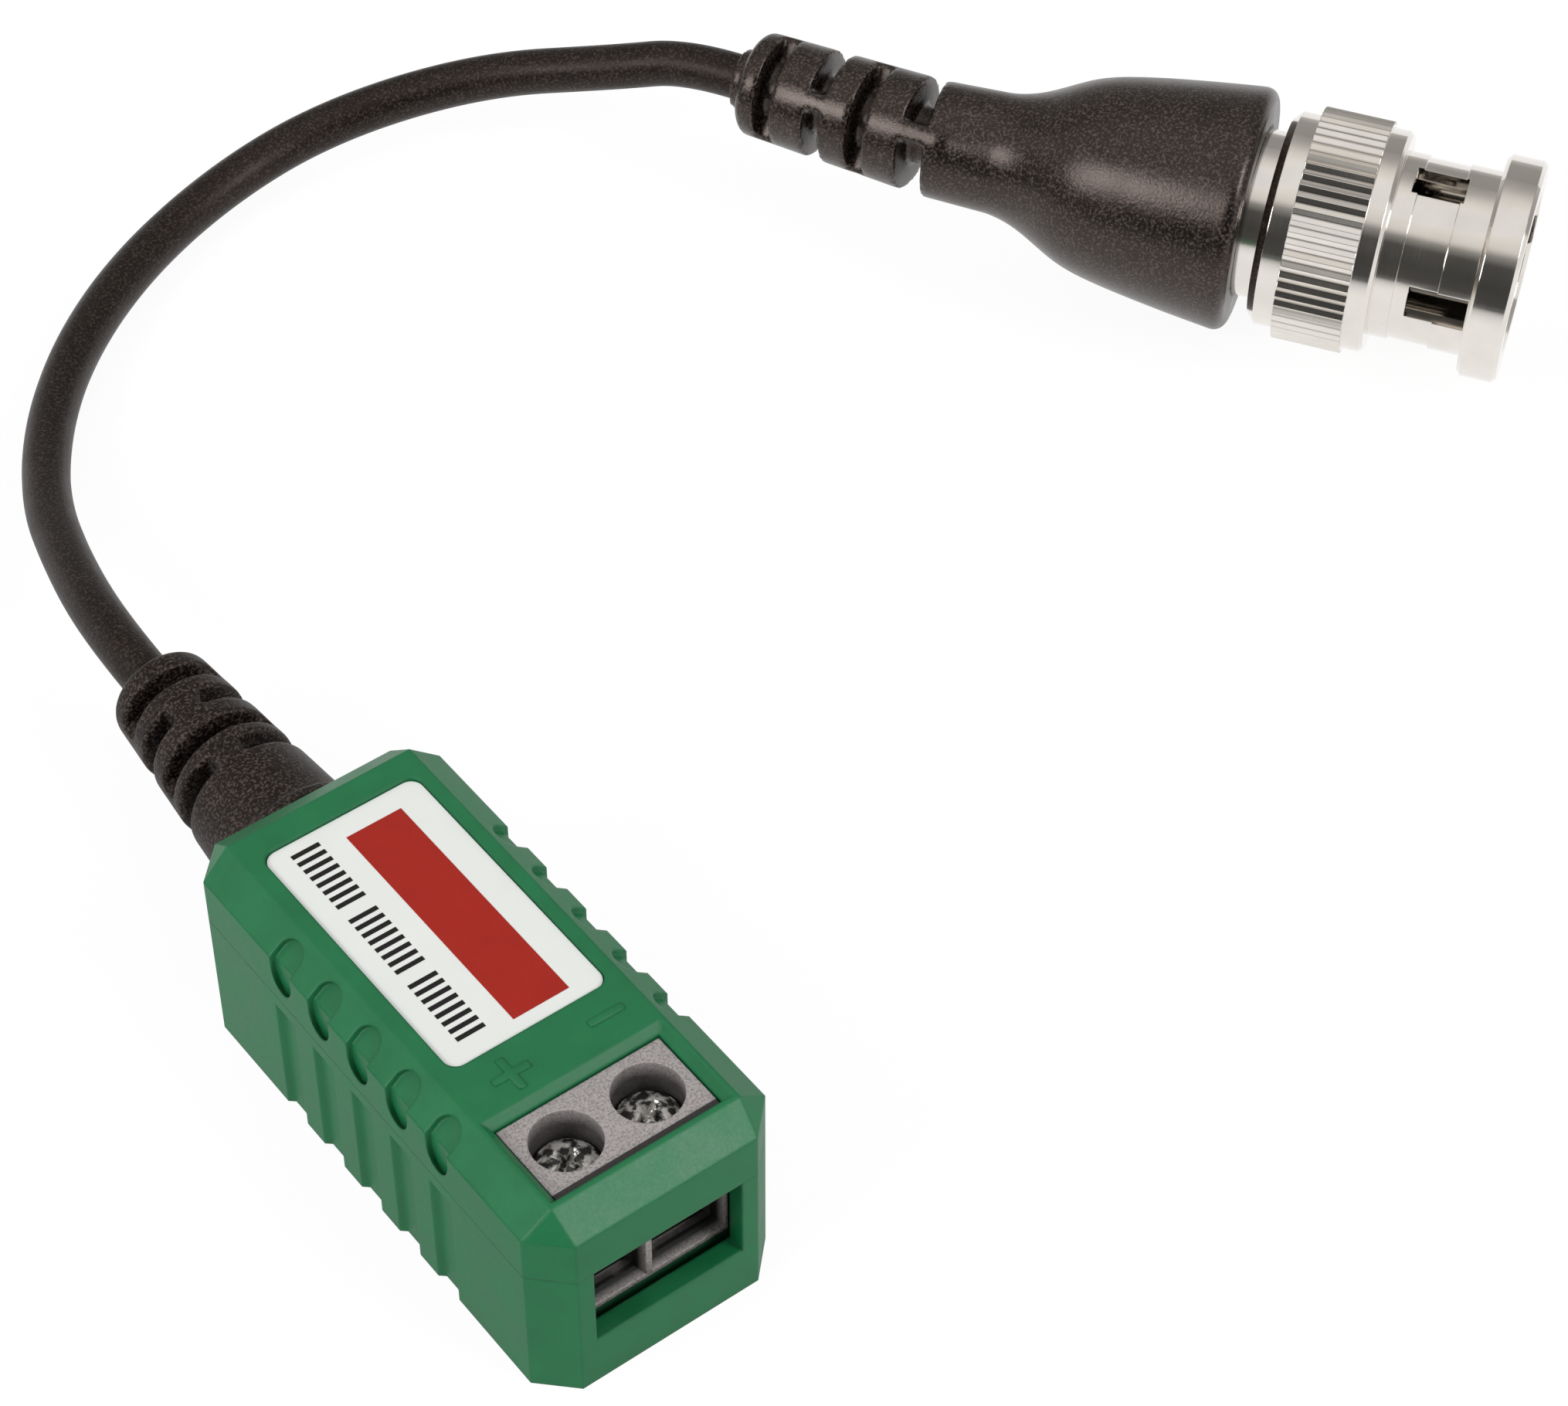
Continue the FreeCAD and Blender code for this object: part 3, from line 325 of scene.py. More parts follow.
green = mouldedMaterial("mouldedGreen", greenLook)
reliefVinyl = mouldedMaterial("ribbedVinyl", reliefLook)
bootVinyl = mouldedMaterial("bootVinyl", bootLook)
jacket = mouldedMaterial("cableJacket", jacketLook)
terminalGrey = mouldedMaterial("terminalGrey", terminalLook)
labelFilm = mouldedMaterial("labelFilm", labelLook)
redInk = mouldedMaterial("redInk", redLook)
blackInk = mouldedMaterial("blackInk", inkLook)
whiteInsulator = mouldedMaterial("whiteInsulator", insulatorLook)
gasketRubber = mouldedMaterial("gasketRubber", gasketLook)
boardGreen = mouldedMaterial("boardGreen", boardLook)
ferrite = mouldedMaterial("ferrite", ferriteLook)
epoxy = mouldedMaterial("epoxyBlack", epoxyLook)
ceramic = mouldedMaterial("dippedCeramic", ceramicLook)
leadSleeve = mouldedMaterial("leadSleeve", leadLook)


# Metals: turned or rolled marks and faint smears, painted dark reflections on the screws, painted shade in
# the knurl's grooves

nutTurn = [joint for joint in frame["joints"] if joint["name"] == "nut_turn"][0]
plugAxis = tuple(nutTurn["axis"])


def vectorMath(tree, operation, first, second=None):
    node = tree.nodes.new("ShaderNodeVectorMath")
    node.operation = operation
    for socket, value in zip(node.inputs, (first, second)):
        if isinstance(value, tuple):
            socket.default_value = value
        elif value is not None:
            tree.links.new(value, socket)
    return node


# Painted shade: the colour turns dark towards the bottoms of the knurl's grooves, within the knurl's band
# along the plug axis
def paintedGrooveShade(tree, point, grooves):
    offset = vectorMath(tree, "SUBTRACT", point, tuple(nutTurn["pos_m"])).outputs["Vector"]
    along = vectorMath(tree, "DOT_PRODUCT", offset, plugAxis).outputs["Value"]
    shadow = vectorMath(tree, "SCALE", plugAxis)
    tree.links.new(along, shadow.inputs["Scale"])
    across = vectorMath(tree, "SUBTRACT", offset, shadow.outputs["Vector"]).outputs["Vector"]
    radius = vectorMath(tree, "LENGTH", across).outputs["Value"]
    deep = rangeOf(tree, radius, grooves["low"] * mm, grooves["high"] * mm, grooves["share"], 0)
    after = mathOf(tree, "GREATER_THAN", along, grooves["start"] * mm)
    before = mathOf(tree, "LESS_THAN", along, grooves["end"] * mm)
    return mathOf(tree, "MULTIPLY", deep, mathOf(tree, "MULTIPLY", after, before))


metalSetup = {
    "detail": 3, "smearFrom": 0.3, "smearTo": 0.7, "dull": 0.95, "bright": 1.04, "paintedReflectionDetail": 2,
    "paintedReflectionFrom": 0.44, "paintedReflectionTo": 0.60, "paintedReflectionTone": 0.05, "unevenFrom": 0.2, "unevenTo": 0.8,
    "smearGloss": (-0.03, 0.05), "lineGloss": (-0.02, 0.03), "lineHeight": 0.01, "rolled": (1, 0.15, 1),
}
plainMetal = {"metallic": 1.0, "dent": 0.08, "sink": 0.02}


def metalMaterial(name, ownLook):
    look = {**plainMetal, **ownLook}
    material, tree, surface = startMaterial(name, look["metallic"])
    point = objectPoint(tree)
    smear = noiseOf(tree, point, 1 / (look["smear"] * mm), metalSetup["detail"])
    patch = rangeOf(tree, smear, metalSetup["smearFrom"], metalSetup["smearTo"], 0, 1)
    dull = toned(look["colour"], metalSetup["dull"])
    bright = toned(look["colour"], metalSetup["bright"])
    colour = mixOf(tree, patch, dull, bright)
    # Painted reflections: dark blotches that stand for the dark well walls mirrored in a screw head
    if "paintedReflection" in look:
        darkReflectionNoise = noiseOf(tree, point, 1 / (look["paintedReflection"] * mm), metalSetup["paintedReflectionDetail"])
        paintedReflection = rangeOf(tree, darkReflectionNoise, metalSetup["paintedReflectionFrom"], metalSetup["paintedReflectionTo"], 1, 0)
        colour = mixOf(tree, paintedReflection, colour, toned(look["colour"], metalSetup["paintedReflectionTone"]))
    # Painted shade in the knurl's grooves
    if "grooves" in look:
        colour = mixOf(tree, paintedGrooveShade(tree, point, look["grooves"]), colour, look["grooves"]["colour"])
    tree.links.new(colour, surface.inputs["Base Color"])
    if "axis" in look:
        across = vectorMath(tree, "DOT_PRODUCT", point, look["axis"])
        marks = tree.nodes.new("ShaderNodeTexNoise")
        marks.noise_dimensions = "1D"
        marks.inputs["Scale"].default_value = 1 / (look["marks"] * mm)
        marks.inputs["Detail"].default_value = metalSetup["detail"]
        tree.links.new(across.outputs["Value"], marks.inputs["W"])
        lines = marks.outputs["Fac"]
    else:
        rolled = objectPoint(tree, metalSetup["rolled"])
        lines = noiseOf(tree, rolled, 1 / (look["marks"] * mm), metalSetup["detail"])
    least, most = metalSetup["smearGloss"]
    broad = rangeOf(tree, smear, metalSetup["unevenFrom"], metalSetup["unevenTo"],
                    look["rough"] + least, look["rough"] + most)
    local = rangeOf(tree, lines, metalSetup["smearFrom"], metalSetup["smearTo"], *metalSetup["lineGloss"])
    tree.links.new(mathOf(tree, "ADD", broad, local), surface.inputs["Roughness"])
    edge = easedEdge(tree, look["edge"] * mm) if "edge" in look else None
    low = relief(tree, smear, look["dent"], look["sink"] * mm, edge)
    lined = relief(tree, lines, look["depth"], metalSetup["lineHeight"] * mm, low)
    tree.links.new(lined, surface.inputs["Normal"])
    return material


# The nickel's knurl carries painted shade in its grooves, in the dark colour given under grooves
nickelLook = {"colour": linear(226, 221, 214), "smear": 2.5, "marks": 0.12, "rough": 0.09, "depth": 0.2,
              "dent": 0.12, "axis": plugAxis, "edge": 0.08,
              "grooves": {"start": -5.8, "end": -1.35, "low": 7.29, "high": 7.36, "share": 0.6,
                          "colour": linear(52, 46, 40)}}
# Screw heads carry painted reflections as dark blotches on a near-white base
screwLook = {"colour": linear(250, 246, 240), "smear": 0.42, "paintedReflection": 0.6, "metallic": 0.3, "marks": 0.08,
             "rough": 0.14, "depth": 0.3, "dent": 1.0, "sink": 0.09, "edge": 0.06}
clampLook = {"colour": linear(206, 202, 194), "smear": 1.2, "marks": 0.1, "rough": 0.28, "depth": 0.3}
contactLook = {"colour": linear(206, 202, 188), "smear": 1.2, "marks": 0.1, "rough": 0.30, "depth": 0.3}
goldLook = {"colour": linear(232, 194, 112), "smear": 1.0, "marks": 0.08, "rough": 0.18, "depth": 0.2,
            "axis": plugAxis}
springLook = {"colour": linear(176, 176, 176), "smear": 1.5, "marks": 0.08, "rough": 0.26, "depth": 0.3}
wireLook = {"colour": linear(196, 104, 52), "smear": 0.6, "marks": 0.06, "rough": 0.20, "depth": 0.2}

nickel = metalMaterial("nickelPlate", nickelLook)
screwSteel = metalMaterial("screwSteel", screwLook)
clampMetal = metalMaterial("clampMetal", clampLook)
contactMetal = metalMaterial("contactMetal", contactLook)
gold = metalMaterial("goldFlash", goldLook)
springSteel = metalMaterial("springSteel", springLook)
enamelWire = metalMaterial("enamelledWire", wireLook)
print("materials made")


# A piece with modifiers ends as the plain mesh that they make

def evaluatedMesh(piece, name):
    bpy.context.view_layer.update()
    view = bpy.context.evaluated_depsgraph_get()
    mesh = bpy.data.meshes.new_from_object(piece.evaluated_get(view))
    mesh.name = name
    piece.modifiers.clear()
    old = piece.data
    piece.data = mesh
    bpy.data.meshes.remove(old)


# CAD nodes whose form is right take a material as they are

nodeMaterials = {
    "top_cover": green, "bottom_cover": green, "terminal_body": terminalGrey,
    "terminal_screw_left": screwSteel, "terminal_screw_right": screwSteel,
    "label": labelFilm, "wire_clamp_left": clampMetal, "wire_clamp_right": clampMetal,
    "terminal_contact_left": contactMetal, "terminal_contact_right": contactMetal,
    "circuit_board": boardGreen, "transformer_core": ferrite, "surge_suppressor": epoxy,
    "ceramic_capacitor": ceramic, "chip_resistor": epoxy,
    "core_lead": leadSleeve, "shield_lead": leadSleeve,
    "plug_body": nickel, "coupling_nut": nickel,
    "plug_insulator": whiteInsulator, "plug_centre_pin": gold, "plug_gasket": gasketRubber,
    "retaining_ring": springSteel, "spring_washer": springSteel, "thrust_washer": springSteel,
}
for name, material in nodeMaterials.items():
    data = nodes[name].data
    data.materials.clear()
    data.materials.append(material)


# Soft vinyl: finely remeshed copies of the two ribbed pieces, smoothed until their edges are round

softSetup = {
    "share": 0.5,
    "merge": 0.001,
    "relief": {"voxel": 0.14, "rounds": 18},
    "boot": {"voxel": 0.18, "rounds": 8},
}


def makeSoft(name, node, look, material):
    shape = bmesh.new()
    shape.from_mesh(nodes[node].data)
    shape.transform(nodes[node].matrix_world)
    bmesh.ops.remove_doubles(shape, verts=shape.verts, dist=softSetup["merge"] * mm)
    mesh = bpy.data.meshes.new(name)
    shape.to_mesh(mesh)
    shape.free()
    piece = bpy.data.objects.new(name, mesh)
    scene.collection.objects.link(piece)
    skin = piece.modifiers.new("fineSkin", "REMESH")
    skin.mode = "VOXEL"
    skin.voxel_size = look["voxel"] * mm
    ease = piece.modifiers.new("softEdges", "SMOOTH")
    ease.factor = softSetup["share"]
    ease.iterations = look["rounds"]
    evaluatedMesh(piece, name)
    piece.data.materials.clear()
    piece.data.materials.append(material)
    piece.data.shade_smooth()
    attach(piece, "balun")
    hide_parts(node)
    return piece


softRelief = makeSoft("softStrainRelief", "housing_strain_relief", softSetup["relief"], reliefVinyl)
softBoot = makeSoft("softPlugBoot", "plug_boot", softSetup["boot"], bootVinyl)
print("vinyl softened:", len(softRelief.data.polygons), len(softBoot.data.polygons), "faces")


# Geometry Nodes helpers

def newTree(name, kinds):
    tree = bpy.data.node_groups.new(name, "GeometryNodeTree")
    tree.interface.new_socket("Geometry", in_out="INPUT", socket_type="NodeSocketGeometry")
    for label, kind in kinds.items():
        tree.interface.new_socket(label, in_out="INPUT", socket_type="NodeSocket" + kind)
    tree.interface.new_socket("Geometry", in_out="OUTPUT", socket_type="NodeSocketGeometry")
    return tree, tree.nodes.new("NodeGroupInput"), tree.nodes.new("NodeGroupOutput")


def closeTree(tree, geometry, output, material):
    real = tree.nodes.new("GeometryNodeRealizeInstances")
    paint = tree.nodes.new("GeometryNodeSetMaterial")
    paint.inputs["Material"].default_value = material
    tree.links.new(geometry, real.inputs["Geometry"])
    tree.links.new(real.outputs["Geometry"], paint.inputs["Geometry"])
    tree.links.new(paint.outputs["Geometry"], output.inputs["Geometry"])


def grownPiece(name, tree, values):
    piece = bpy.data.objects.new(name, bpy.data.meshes.new(name))
    scene.collection.objects.link(piece)
    grow = piece.modifiers.new("grow", "NODES")
    grow.node_group = tree
    keys = {item.name: item.identifier for item in tree.interface.items_tree if item.in_out == "INPUT"}
    for label, value in values.items():
        grow[keys[label]] = value
    evaluatedMesh(piece, name)
    return piece


# Label print: a red field and a row of plain dashes

printSetup = {
    "fieldX": (-0.35, 3.15), "fieldY": (-3.85, 11.8), "lift": 0.02,
    "dashX": -2.6, "dashTop": 12.3, "dashPitch": 0.62, "dashCount": 26, "dashWide": 1.75, "dashTall": 0.3,
    "gapEvery": 9, "sameWithin": 0.1,
}


def makeRedField():
    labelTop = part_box("label")[1].z
    spanX, spanY = printSetup["fieldX"], printSetup["fieldY"]
    shape = bmesh.new()
    bmesh.ops.create_cube(shape, size=1)
    wide, tall, lift = (spanX[1] - spanX[0]) * mm, (spanY[1] - spanY[0]) * mm, printSetup["lift"] * mm
    bmesh.ops.scale(shape, vec=(wide, tall, 2 * lift), verts=shape.verts)
    centre = ((spanX[0] + spanX[1]) / 2 * mm, (spanY[0] + spanY[1]) / 2 * mm, labelTop)
    bmesh.ops.translate(shape, vec=centre, verts=shape.verts)
    mesh = bpy.data.meshes.new("labelRedField")
    shape.to_mesh(mesh)
    shape.free()
    mesh.materials.append(redInk)
    piece = bpy.data.objects.new("labelRedField", mesh)
    scene.collection.objects.link(piece)
    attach(piece, "balun")


def makeDashes():
    tree, given, output = newTree("dashRow", {
        "Count": "Int", "Pitch": "Float", "Wide": "Float", "Tall": "Float", "Lift": "Float",
        "Start": "Vector", "Gap Every": "Int"})
    line = tree.nodes.new("GeometryNodeMeshLine")
    step = tree.nodes.new("ShaderNodeCombineXYZ")
    tree.links.new(mathOf(tree, "MULTIPLY", given.outputs["Pitch"], -1), step.inputs["Y"])
    tree.links.new(given.outputs["Count"], line.inputs["Count"])
    tree.links.new(given.outputs["Start"], line.inputs["Start Location"])
    tree.links.new(step.outputs[0], line.inputs["Offset"])
    index = tree.nodes.new("GeometryNodeInputIndex")
    wrap = mathOf(tree, "MODULO", index.outputs[0], given.outputs["Gap Every"])
    last = mathOf(tree, "SUBTRACT", given.outputs["Gap Every"], 1)
    isGap = mathOf(tree, "COMPARE", wrap, last, printSetup["sameWithin"])
    drop = tree.nodes.new("GeometryNodeDeleteGeometry")
    tree.links.new(line.outputs["Mesh"], drop.inputs["Geometry"])
    tree.links.new(isGap, drop.inputs["Selection"])
    dash = tree.nodes.new("GeometryNodeMeshCube")
    size = tree.nodes.new("ShaderNodeCombineXYZ")
    for label, socket in (("Wide", "X"), ("Tall", "Y"), ("Lift", "Z")):
        tree.links.new(given.outputs[label], size.inputs[socket])
    tree.links.new(size.outputs[0], dash.inputs["Size"])
    put = tree.nodes.new("GeometryNodeInstanceOnPoints")
    tree.links.new(drop.outputs["Geometry"], put.inputs["Points"])
    tree.links.new(dash.outputs["Mesh"], put.inputs["Instance"])
    closeTree(tree, put.outputs["Instances"], output, blackInk)
    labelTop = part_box("label")[1].z
    start = (printSetup["dashX"] * mm, printSetup["dashTop"] * mm, labelTop)
    piece = grownPiece("labelDashes", tree, {
        "Count": printSetup["dashCount"], "Pitch": printSetup["dashPitch"] * mm,
        "Wide": printSetup["dashWide"] * mm, "Tall": printSetup["dashTall"] * mm,
        "Lift": 2 * printSetup["lift"] * mm, "Start": start, "Gap Every": printSetup["gapEvery"]})
    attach(piece, "balun")


makeRedField()
makeDashes()
print("label printed")


# Moulded signs between the terminal and the label, in the cover's own green

signSetup = {
    "plus": (-2.54, -6.8), "minus": (3.53, -6.6), "reach": 1.15, "bar": 0.5, "minusReach": 1.1, "lift": 0.09,
    "round": 0.08, "roundSteps": 3, "sharpAbove": 50,
}


def makeSign(name, centre, outline):
    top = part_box("top_cover")[1].z
    lift = signSetup["lift"] * mm
    shape = bmesh.new()
    rim = [shape.verts.new(((centre[0] + x) * mm, (centre[1] + y) * mm, top - lift)) for x, y in outline]
    face = shape.faces.new(rim)
    grown = bmesh.ops.extrude_face_region(shape, geom=[face])
    raised = [part for part in grown["geom"] if isinstance(part, bmesh.types.BMVert)]
    bmesh.ops.translate(shape, vec=(0, 0, 2 * lift), verts=raised)
    bmesh.ops.recalc_face_normals(shape, faces=shape.faces)
    mesh = bpy.data.meshes.new(name)
    shape.to_mesh(mesh)
    shape.free()
    mesh.materials.append(green)
    piece = bpy.data.objects.new(name, mesh)
    scene.collection.objects.link(piece)
    ease = piece.modifiers.new("easedEdges", "BEVEL")
    ease.width = signSetup["round"] * mm
    ease.segments = signSetup["roundSteps"]
    evaluatedMesh(piece, name)
    piece.data.shade_smooth()
    piece.data.set_sharp_from_angle(angle=math.radians(signSetup["sharpAbove"]))
    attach(piece, "balun")


reach, bar = signSetup["reach"], signSetup["bar"] / 2
makeSign("plusSign", signSetup["plus"], [
    (-reach, -bar), (-bar, -bar), (-bar, -reach), (bar, -reach), (bar, -bar), (reach, -bar),
    (reach, bar), (bar, bar), (bar, reach), (-bar, reach), (-bar, bar), (-reach, bar)])
reach = signSetup["minusReach"]
makeSign("minusSign", signSetup["minus"], [(-reach, -bar), (reach, -bar), (reach, bar), (-reach, bar)])
print("signs raised")


# Ring core winding: closed turns of enamelled wire in two groups, as many as fit

windingSetup = {
    "turns": 8, "step": 12.5, "wire": 0.16, "near": 1.42, "far": 3.68, "low": 3.3, "high": 6.46, "round": 0.3,
    "cornerSteps": 3, "wireSides": 8,
}


def makeWinding():
    tree, given, output = newTree("coreWinding", {
        "Turns": "Int", "Step": "Float", "Wire": "Float", "Width": "Float", "Height": "Float",
        "Round": "Float", "Middle": "Float", "Centre": "Vector"})
    loop = tree.nodes.new("GeometryNodeCurvePrimitiveQuadrilateral")
    tree.links.new(given.outputs["Width"], loop.inputs["Width"])
    tree.links.new(given.outputs["Height"], loop.inputs["Height"])
    soft = tree.nodes.new("GeometryNodeFilletCurve")
    soft.mode = "POLY"
    soft.inputs["Count"].default_value = windingSetup["cornerSteps"]
    tree.links.new(loop.outputs[0], soft.inputs["Curve"])
    tree.links.new(given.outputs["Round"], soft.inputs["Radius"])
    section = tree.nodes.new("GeometryNodeCurvePrimitiveCircle")
    section.inputs["Resolution"].default_value = windingSetup["wireSides"]
    tree.links.new(given.outputs["Wire"], section.inputs["Radius"])
    wire = tree.nodes.new("GeometryNodeCurveToMesh")
    tree.links.new(soft.outputs["Curve"], wire.inputs["Curve"])
    tree.links.new(section.outputs["Curve"], wire.inputs["Profile Curve"])
    stand = tree.nodes.new("GeometryNodeTransform")
    stand.inputs["Rotation"].default_value = (math.radians(90), 0, 0)
    out = tree.nodes.new("ShaderNodeCombineXYZ")
    tree.links.new(given.outputs["Middle"], out.inputs["X"])
    tree.links.new(out.outputs[0], stand.inputs["Translation"])
    tree.links.new(wire.outputs["Mesh"], stand.inputs["Geometry"])
    index = tree.nodes.new("GeometryNodeInputIndex")
    halfway = mathOf(tree, "DIVIDE", mathOf(tree, "SUBTRACT", given.outputs["Turns"], 1), 2)
    place = mathOf(tree, "SUBTRACT", index.outputs[0], halfway)
    groups = tree.nodes.new("GeometryNodeJoinGeometry")
    for start in (0.0, math.pi):
        line = tree.nodes.new("GeometryNodeMeshLine")
        tree.links.new(given.outputs["Turns"], line.inputs["Count"])
        line.inputs["Offset"].default_value = (0, 0, 0)
        spin = tree.nodes.new("ShaderNodeCombineXYZ")
        angle = mathOf(tree, "MULTIPLY_ADD", place, given.outputs["Step"], start)
        tree.links.new(angle, spin.inputs["Z"])
        put = tree.nodes.new("GeometryNodeInstanceOnPoints")
        tree.links.new(line.outputs["Mesh"], put.inputs["Points"])
        tree.links.new(stand.outputs["Geometry"], put.inputs["Instance"])
        tree.links.new(spin.outputs[0], put.inputs["Rotation"])
        tree.links.new(put.outputs["Instances"], groups.inputs["Geometry"])
    move = tree.nodes.new("GeometryNodeTransform")
    tree.links.new(given.outputs["Centre"], move.inputs["Translation"])
    tree.links.new(groups.outputs["Geometry"], move.inputs["Geometry"])
    closeTree(tree, move.outputs["Geometry"], output, enamelWire)
    low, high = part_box("transformer_core")
    middle = (windingSetup["low"] + windingSetup["high"]) / 2 * mm
    centre = ((low.x + high.x) / 2, (low.y + high.y) / 2, middle)
    piece = grownPiece("coreWinding", tree, {
        "Turns": windingSetup["turns"], "Step": math.radians(windingSetup["step"]),
        "Wire": windingSetup["wire"] * mm, "Width": (windingSetup["far"] - windingSetup["near"]) * mm,
        "Height": (windingSetup["high"] - windingSetup["low"]) * mm, "Round": windingSetup["round"] * mm,
        "Middle": (windingSetup["far"] + windingSetup["near"]) / 2 * mm, "Centre": centre})
    piece.data.shade_smooth()
    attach(piece, "balun")
    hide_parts("transformer_winding")


makeWinding()
print("core wound")


# The cable, whose far end is the plug, takes the jacket, rides on the balun and stands in for the hidden CAD
# cable

cable.data.materials.append(jacket)
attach(cable, "balun")
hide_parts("cable")


# Floor, world and lamps

studioSetup = {
    "floorSize": 3.0, "floorTone": 0.90, "floorShade": 0.90, "floorGloss": 0.95, "floorGlow": 1.03,
    "ambient": 0.50, "glossy": 0.93, "frontAzimuth": 213, "fadeNear": -0.05, "fadeFar": 0.06,
    "fadeTone": 0.08,
}


def makeFloor():
    half = studioSetup["floorSize"] / 2
    mesh = bpy.data.meshes.new("studioFloor")
    corners = [(-half, -half, 0), (half, -half, 0), (half, half, 0), (-half, half, 0)]
    mesh.from_pydata(corners, [], [(0, 1, 2, 3)])
    floor = bpy.data.objects.new("studioFloor", mesh)
    scene.collection.objects.link(floor)
    material = bpy.data.materials.new("studioFloor")
    material.use_nodes = True
    tree = material.node_tree
    tree.nodes.clear()
    output = tree.nodes.new("ShaderNodeOutputMaterial")
    matt = tree.nodes.new("ShaderNodeBsdfDiffuse")
    tone = studioSetup["floorTone"]
    matt.inputs["Color"].default_value = (tone, tone, tone, 1)
    path = tree.nodes.new("ShaderNodeLightPath")
    toCamera = mathOf(tree, "MULTIPLY", path.outputs["Is Camera Ray"], studioSetup["floorShade"])
    toGloss = mathOf(tree, "MULTIPLY", path.outputs["Is Glossy Ray"], studioSetup["floorGloss"])
    share = mathOf(tree, "MAXIMUM", toCamera, toGloss)
    # In reflections the sheet ends in the dark of the room on the camera's side
    turn = math.radians(studioSetup["frontAzimuth"])
    ahead = vectorMath(tree, "DOT_PRODUCT", objectPoint(tree), (math.cos(turn), math.sin(turn), 0))
    sheet = rangeOf(tree, ahead.outputs["Value"], studioSetup["fadeNear"], studioSetup["fadeFar"], 1,
                    studioSetup["fadeTone"])
    strength = mathOf(tree, "MAXIMUM", sheet, path.outputs["Is Camera Ray"])
    glow = tree.nodes.new("ShaderNodeEmission")
    tree.links.new(mathOf(tree, "MULTIPLY", strength, studioSetup["floorGlow"]), glow.inputs["Strength"])
    blend = tree.nodes.new("ShaderNodeMixShader")
    tree.links.new(share, blend.inputs[0])
    tree.links.new(matt.outputs[0], blend.inputs[1])
    tree.links.new(glow.outputs[0], blend.inputs[2])
    tree.links.new(blend.outputs[0], output.inputs["Surface"])
    mesh.materials.append(material)


def makeWorld():
    world = bpy.data.worlds.new("studioWorld")
    scene.world = world
    world.use_nodes = True
    tree = world.node_tree
    tree.nodes.clear()
    output = tree.nodes.new("ShaderNodeOutputWorld")
    path = tree.nodes.new("ShaderNodeLightPath")
    mirror = mathOf(tree, "MAXIMUM", path.outputs["Is Glossy Ray"], path.outputs["Is Transmission Ray"])
    inGloss = rangeOf(tree, mirror, 0, 1, studioSetup["ambient"], studioSetup["glossy"])
    strength = mathOf(tree, "MAXIMUM", inGloss, path.outputs["Is Camera Ray"])
    sky = tree.nodes.new("ShaderNodeBackground")
    sky.inputs["Color"].default_value = (1, 1, 1, 1)
    tree.links.new(strength, sky.inputs["Strength"])
    tree.links.new(sky.outputs[0], output.inputs["Surface"])


lampSetup = {
    "keyLamp": {"place": (-1.15, 0.04, 0.78), "aim": (0.03, 0.03, 0), "size": 0.62, "power": 9.0,
                "seen": True},
    "fillLamp": {"place": (0.50, -1.02, 0.88), "aim": (0.0, 0.0, 0.01), "size": 0.55, "power": 7.2,
                 "seen": True},
    "backLamp": {"place": (0.2, 1.2, 1.0), "aim": (0.03, 0.03, 0), "size": 1.0, "power": 2.6,
                 "seen": False},
}


def makeLamp(name, look):
    data = bpy.data.lights.new(name, "AREA")
    data.shape = "DISK"
    data.size = look["size"]
    data.energy = look["power"]
    lamp = bpy.data.objects.new(name, data)
    scene.collection.objects.link(lamp)
    facing = (Vector(look["aim"]) - Vector(look["place"])).to_track_quat("-Z", "Y").to_matrix().to_4x4()
    lamp.matrix_world = Matrix.Translation(look["place"]) @ facing
    lamp.visible_camera = False
    lamp.visible_glossy = look["seen"]


# Curved screens that only reflections see: tones run from the low edge to the high one

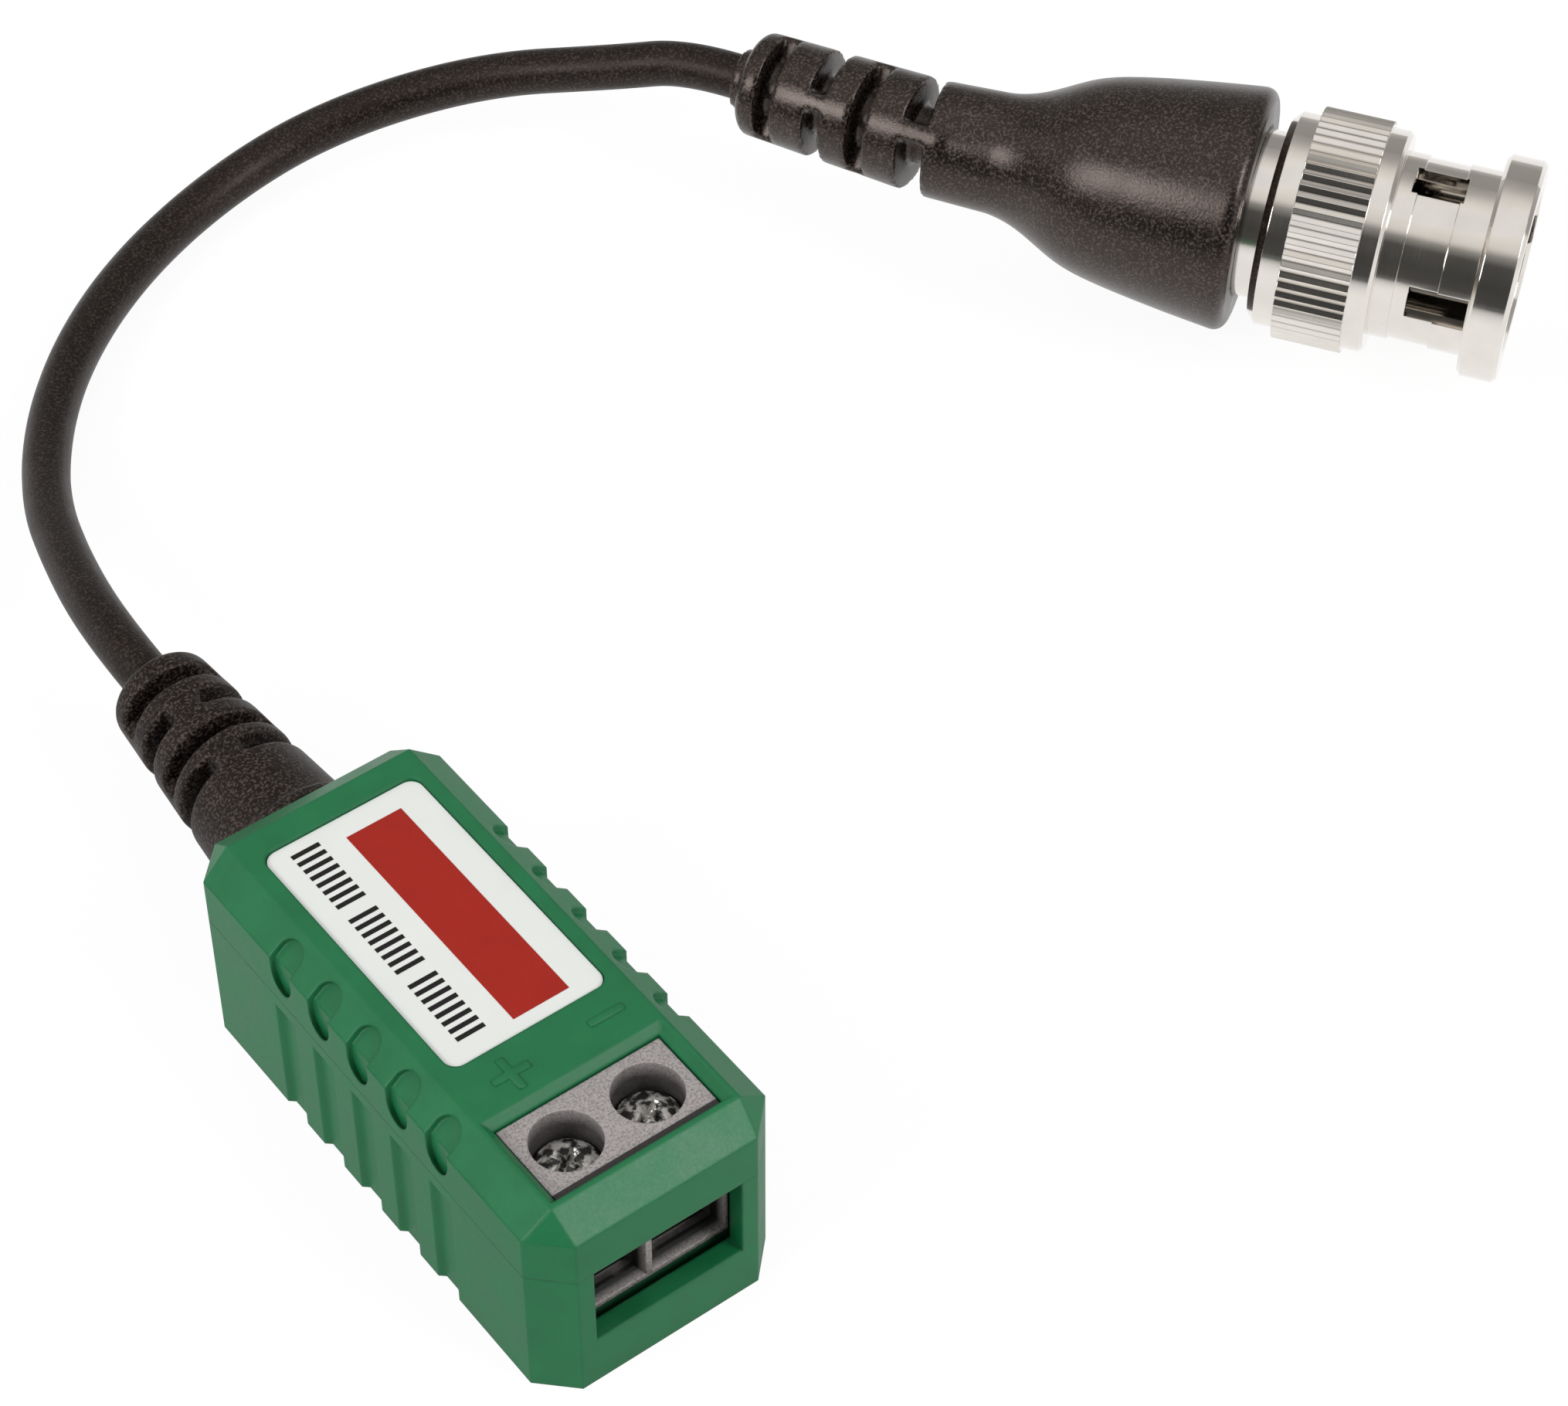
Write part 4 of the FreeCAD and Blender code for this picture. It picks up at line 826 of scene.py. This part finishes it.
screenSetup = {
    "away": 1.6, "steps": 32, "rows": 12, "warmth": (1, 0.98, 0.95),
    "front": {"azimuth": 213, "spread": 72, "low": -3, "high": 74,
              "tones": ((-3, 0.08), (20, 0.06), (43, 0.08), (53, 0.30), (60, 0.78), (74, 0.93))},
    "rear": {"azimuth": 40, "spread": 76, "low": -3, "high": 74,
             "tones": ((-3, 0.60), (12, 0.36), (40, 0.34), (52, 0.52), (64, 0.80), (74, 0.93))},
}


def makeScreen(name, look):
    points = []
    faces = []
    steps, rows, away = screenSetup["steps"], screenSetup["rows"], screenSetup["away"]
    for i in range(steps + 1):
        turn = math.radians(look["azimuth"] + look["spread"] * (2 * i / steps - 1))
        for j in range(rows + 1):
            tilt = math.radians(look["low"] + (look["high"] - look["low"]) * j / rows)
            reach = away * math.cos(tilt)
            points.append((reach * math.cos(turn), reach * math.sin(turn), away * math.sin(tilt)))
    for i in range(steps):
        for j in range(rows):
            corner = i * (rows + 1) + j
            faces.append((corner, corner + 1, corner + rows + 2, corner + rows + 1))
    mesh = bpy.data.meshes.new(name)
    mesh.from_pydata(points, [], faces)
    screen = bpy.data.objects.new(name, mesh)
    scene.collection.objects.link(screen)
    screen.visible_camera = False
    screen.visible_diffuse = False
    screen.visible_shadow = False
    screen.visible_transmission = False
    material = bpy.data.materials.new(name)
    material.use_nodes = True
    tree = material.node_tree
    tree.nodes.clear()
    output = tree.nodes.new("ShaderNodeOutputMaterial")
    split = tree.nodes.new("ShaderNodeSeparateXYZ")
    tree.links.new(objectPoint(tree), split.inputs[0])
    low, high = (away * math.sin(math.radians(look[end])) for end in ("low", "high"))
    ramp = tree.nodes.new("ShaderNodeValToRGB")
    stops = ramp.color_ramp.elements
    while len(stops) < len(look["tones"]):
        stops.new(1.0)
    for stop, (rise, tone) in zip(stops, look["tones"]):
        stop.position = (away * math.sin(math.radians(rise)) - low) / (high - low)
        stop.color = tuple(tone * share for share in screenSetup["warmth"]) + (1,)
    tree.links.new(rangeOf(tree, split.outputs["Z"], low, high, 0, 1), ramp.inputs["Fac"])
    glow = tree.nodes.new("ShaderNodeEmission")
    tree.links.new(ramp.outputs["Color"], glow.inputs["Color"])
    tree.links.new(glow.outputs[0], output.inputs["Surface"])
    mesh.materials.append(material)


makeFloor()
makeWorld()
makeScreen("frontScreen", screenSetup["front"])
makeScreen("rearScreen", screenSetup["rear"])
for name, look in lampSetup.items():
    makeLamp(name, look)
print("studio lit")
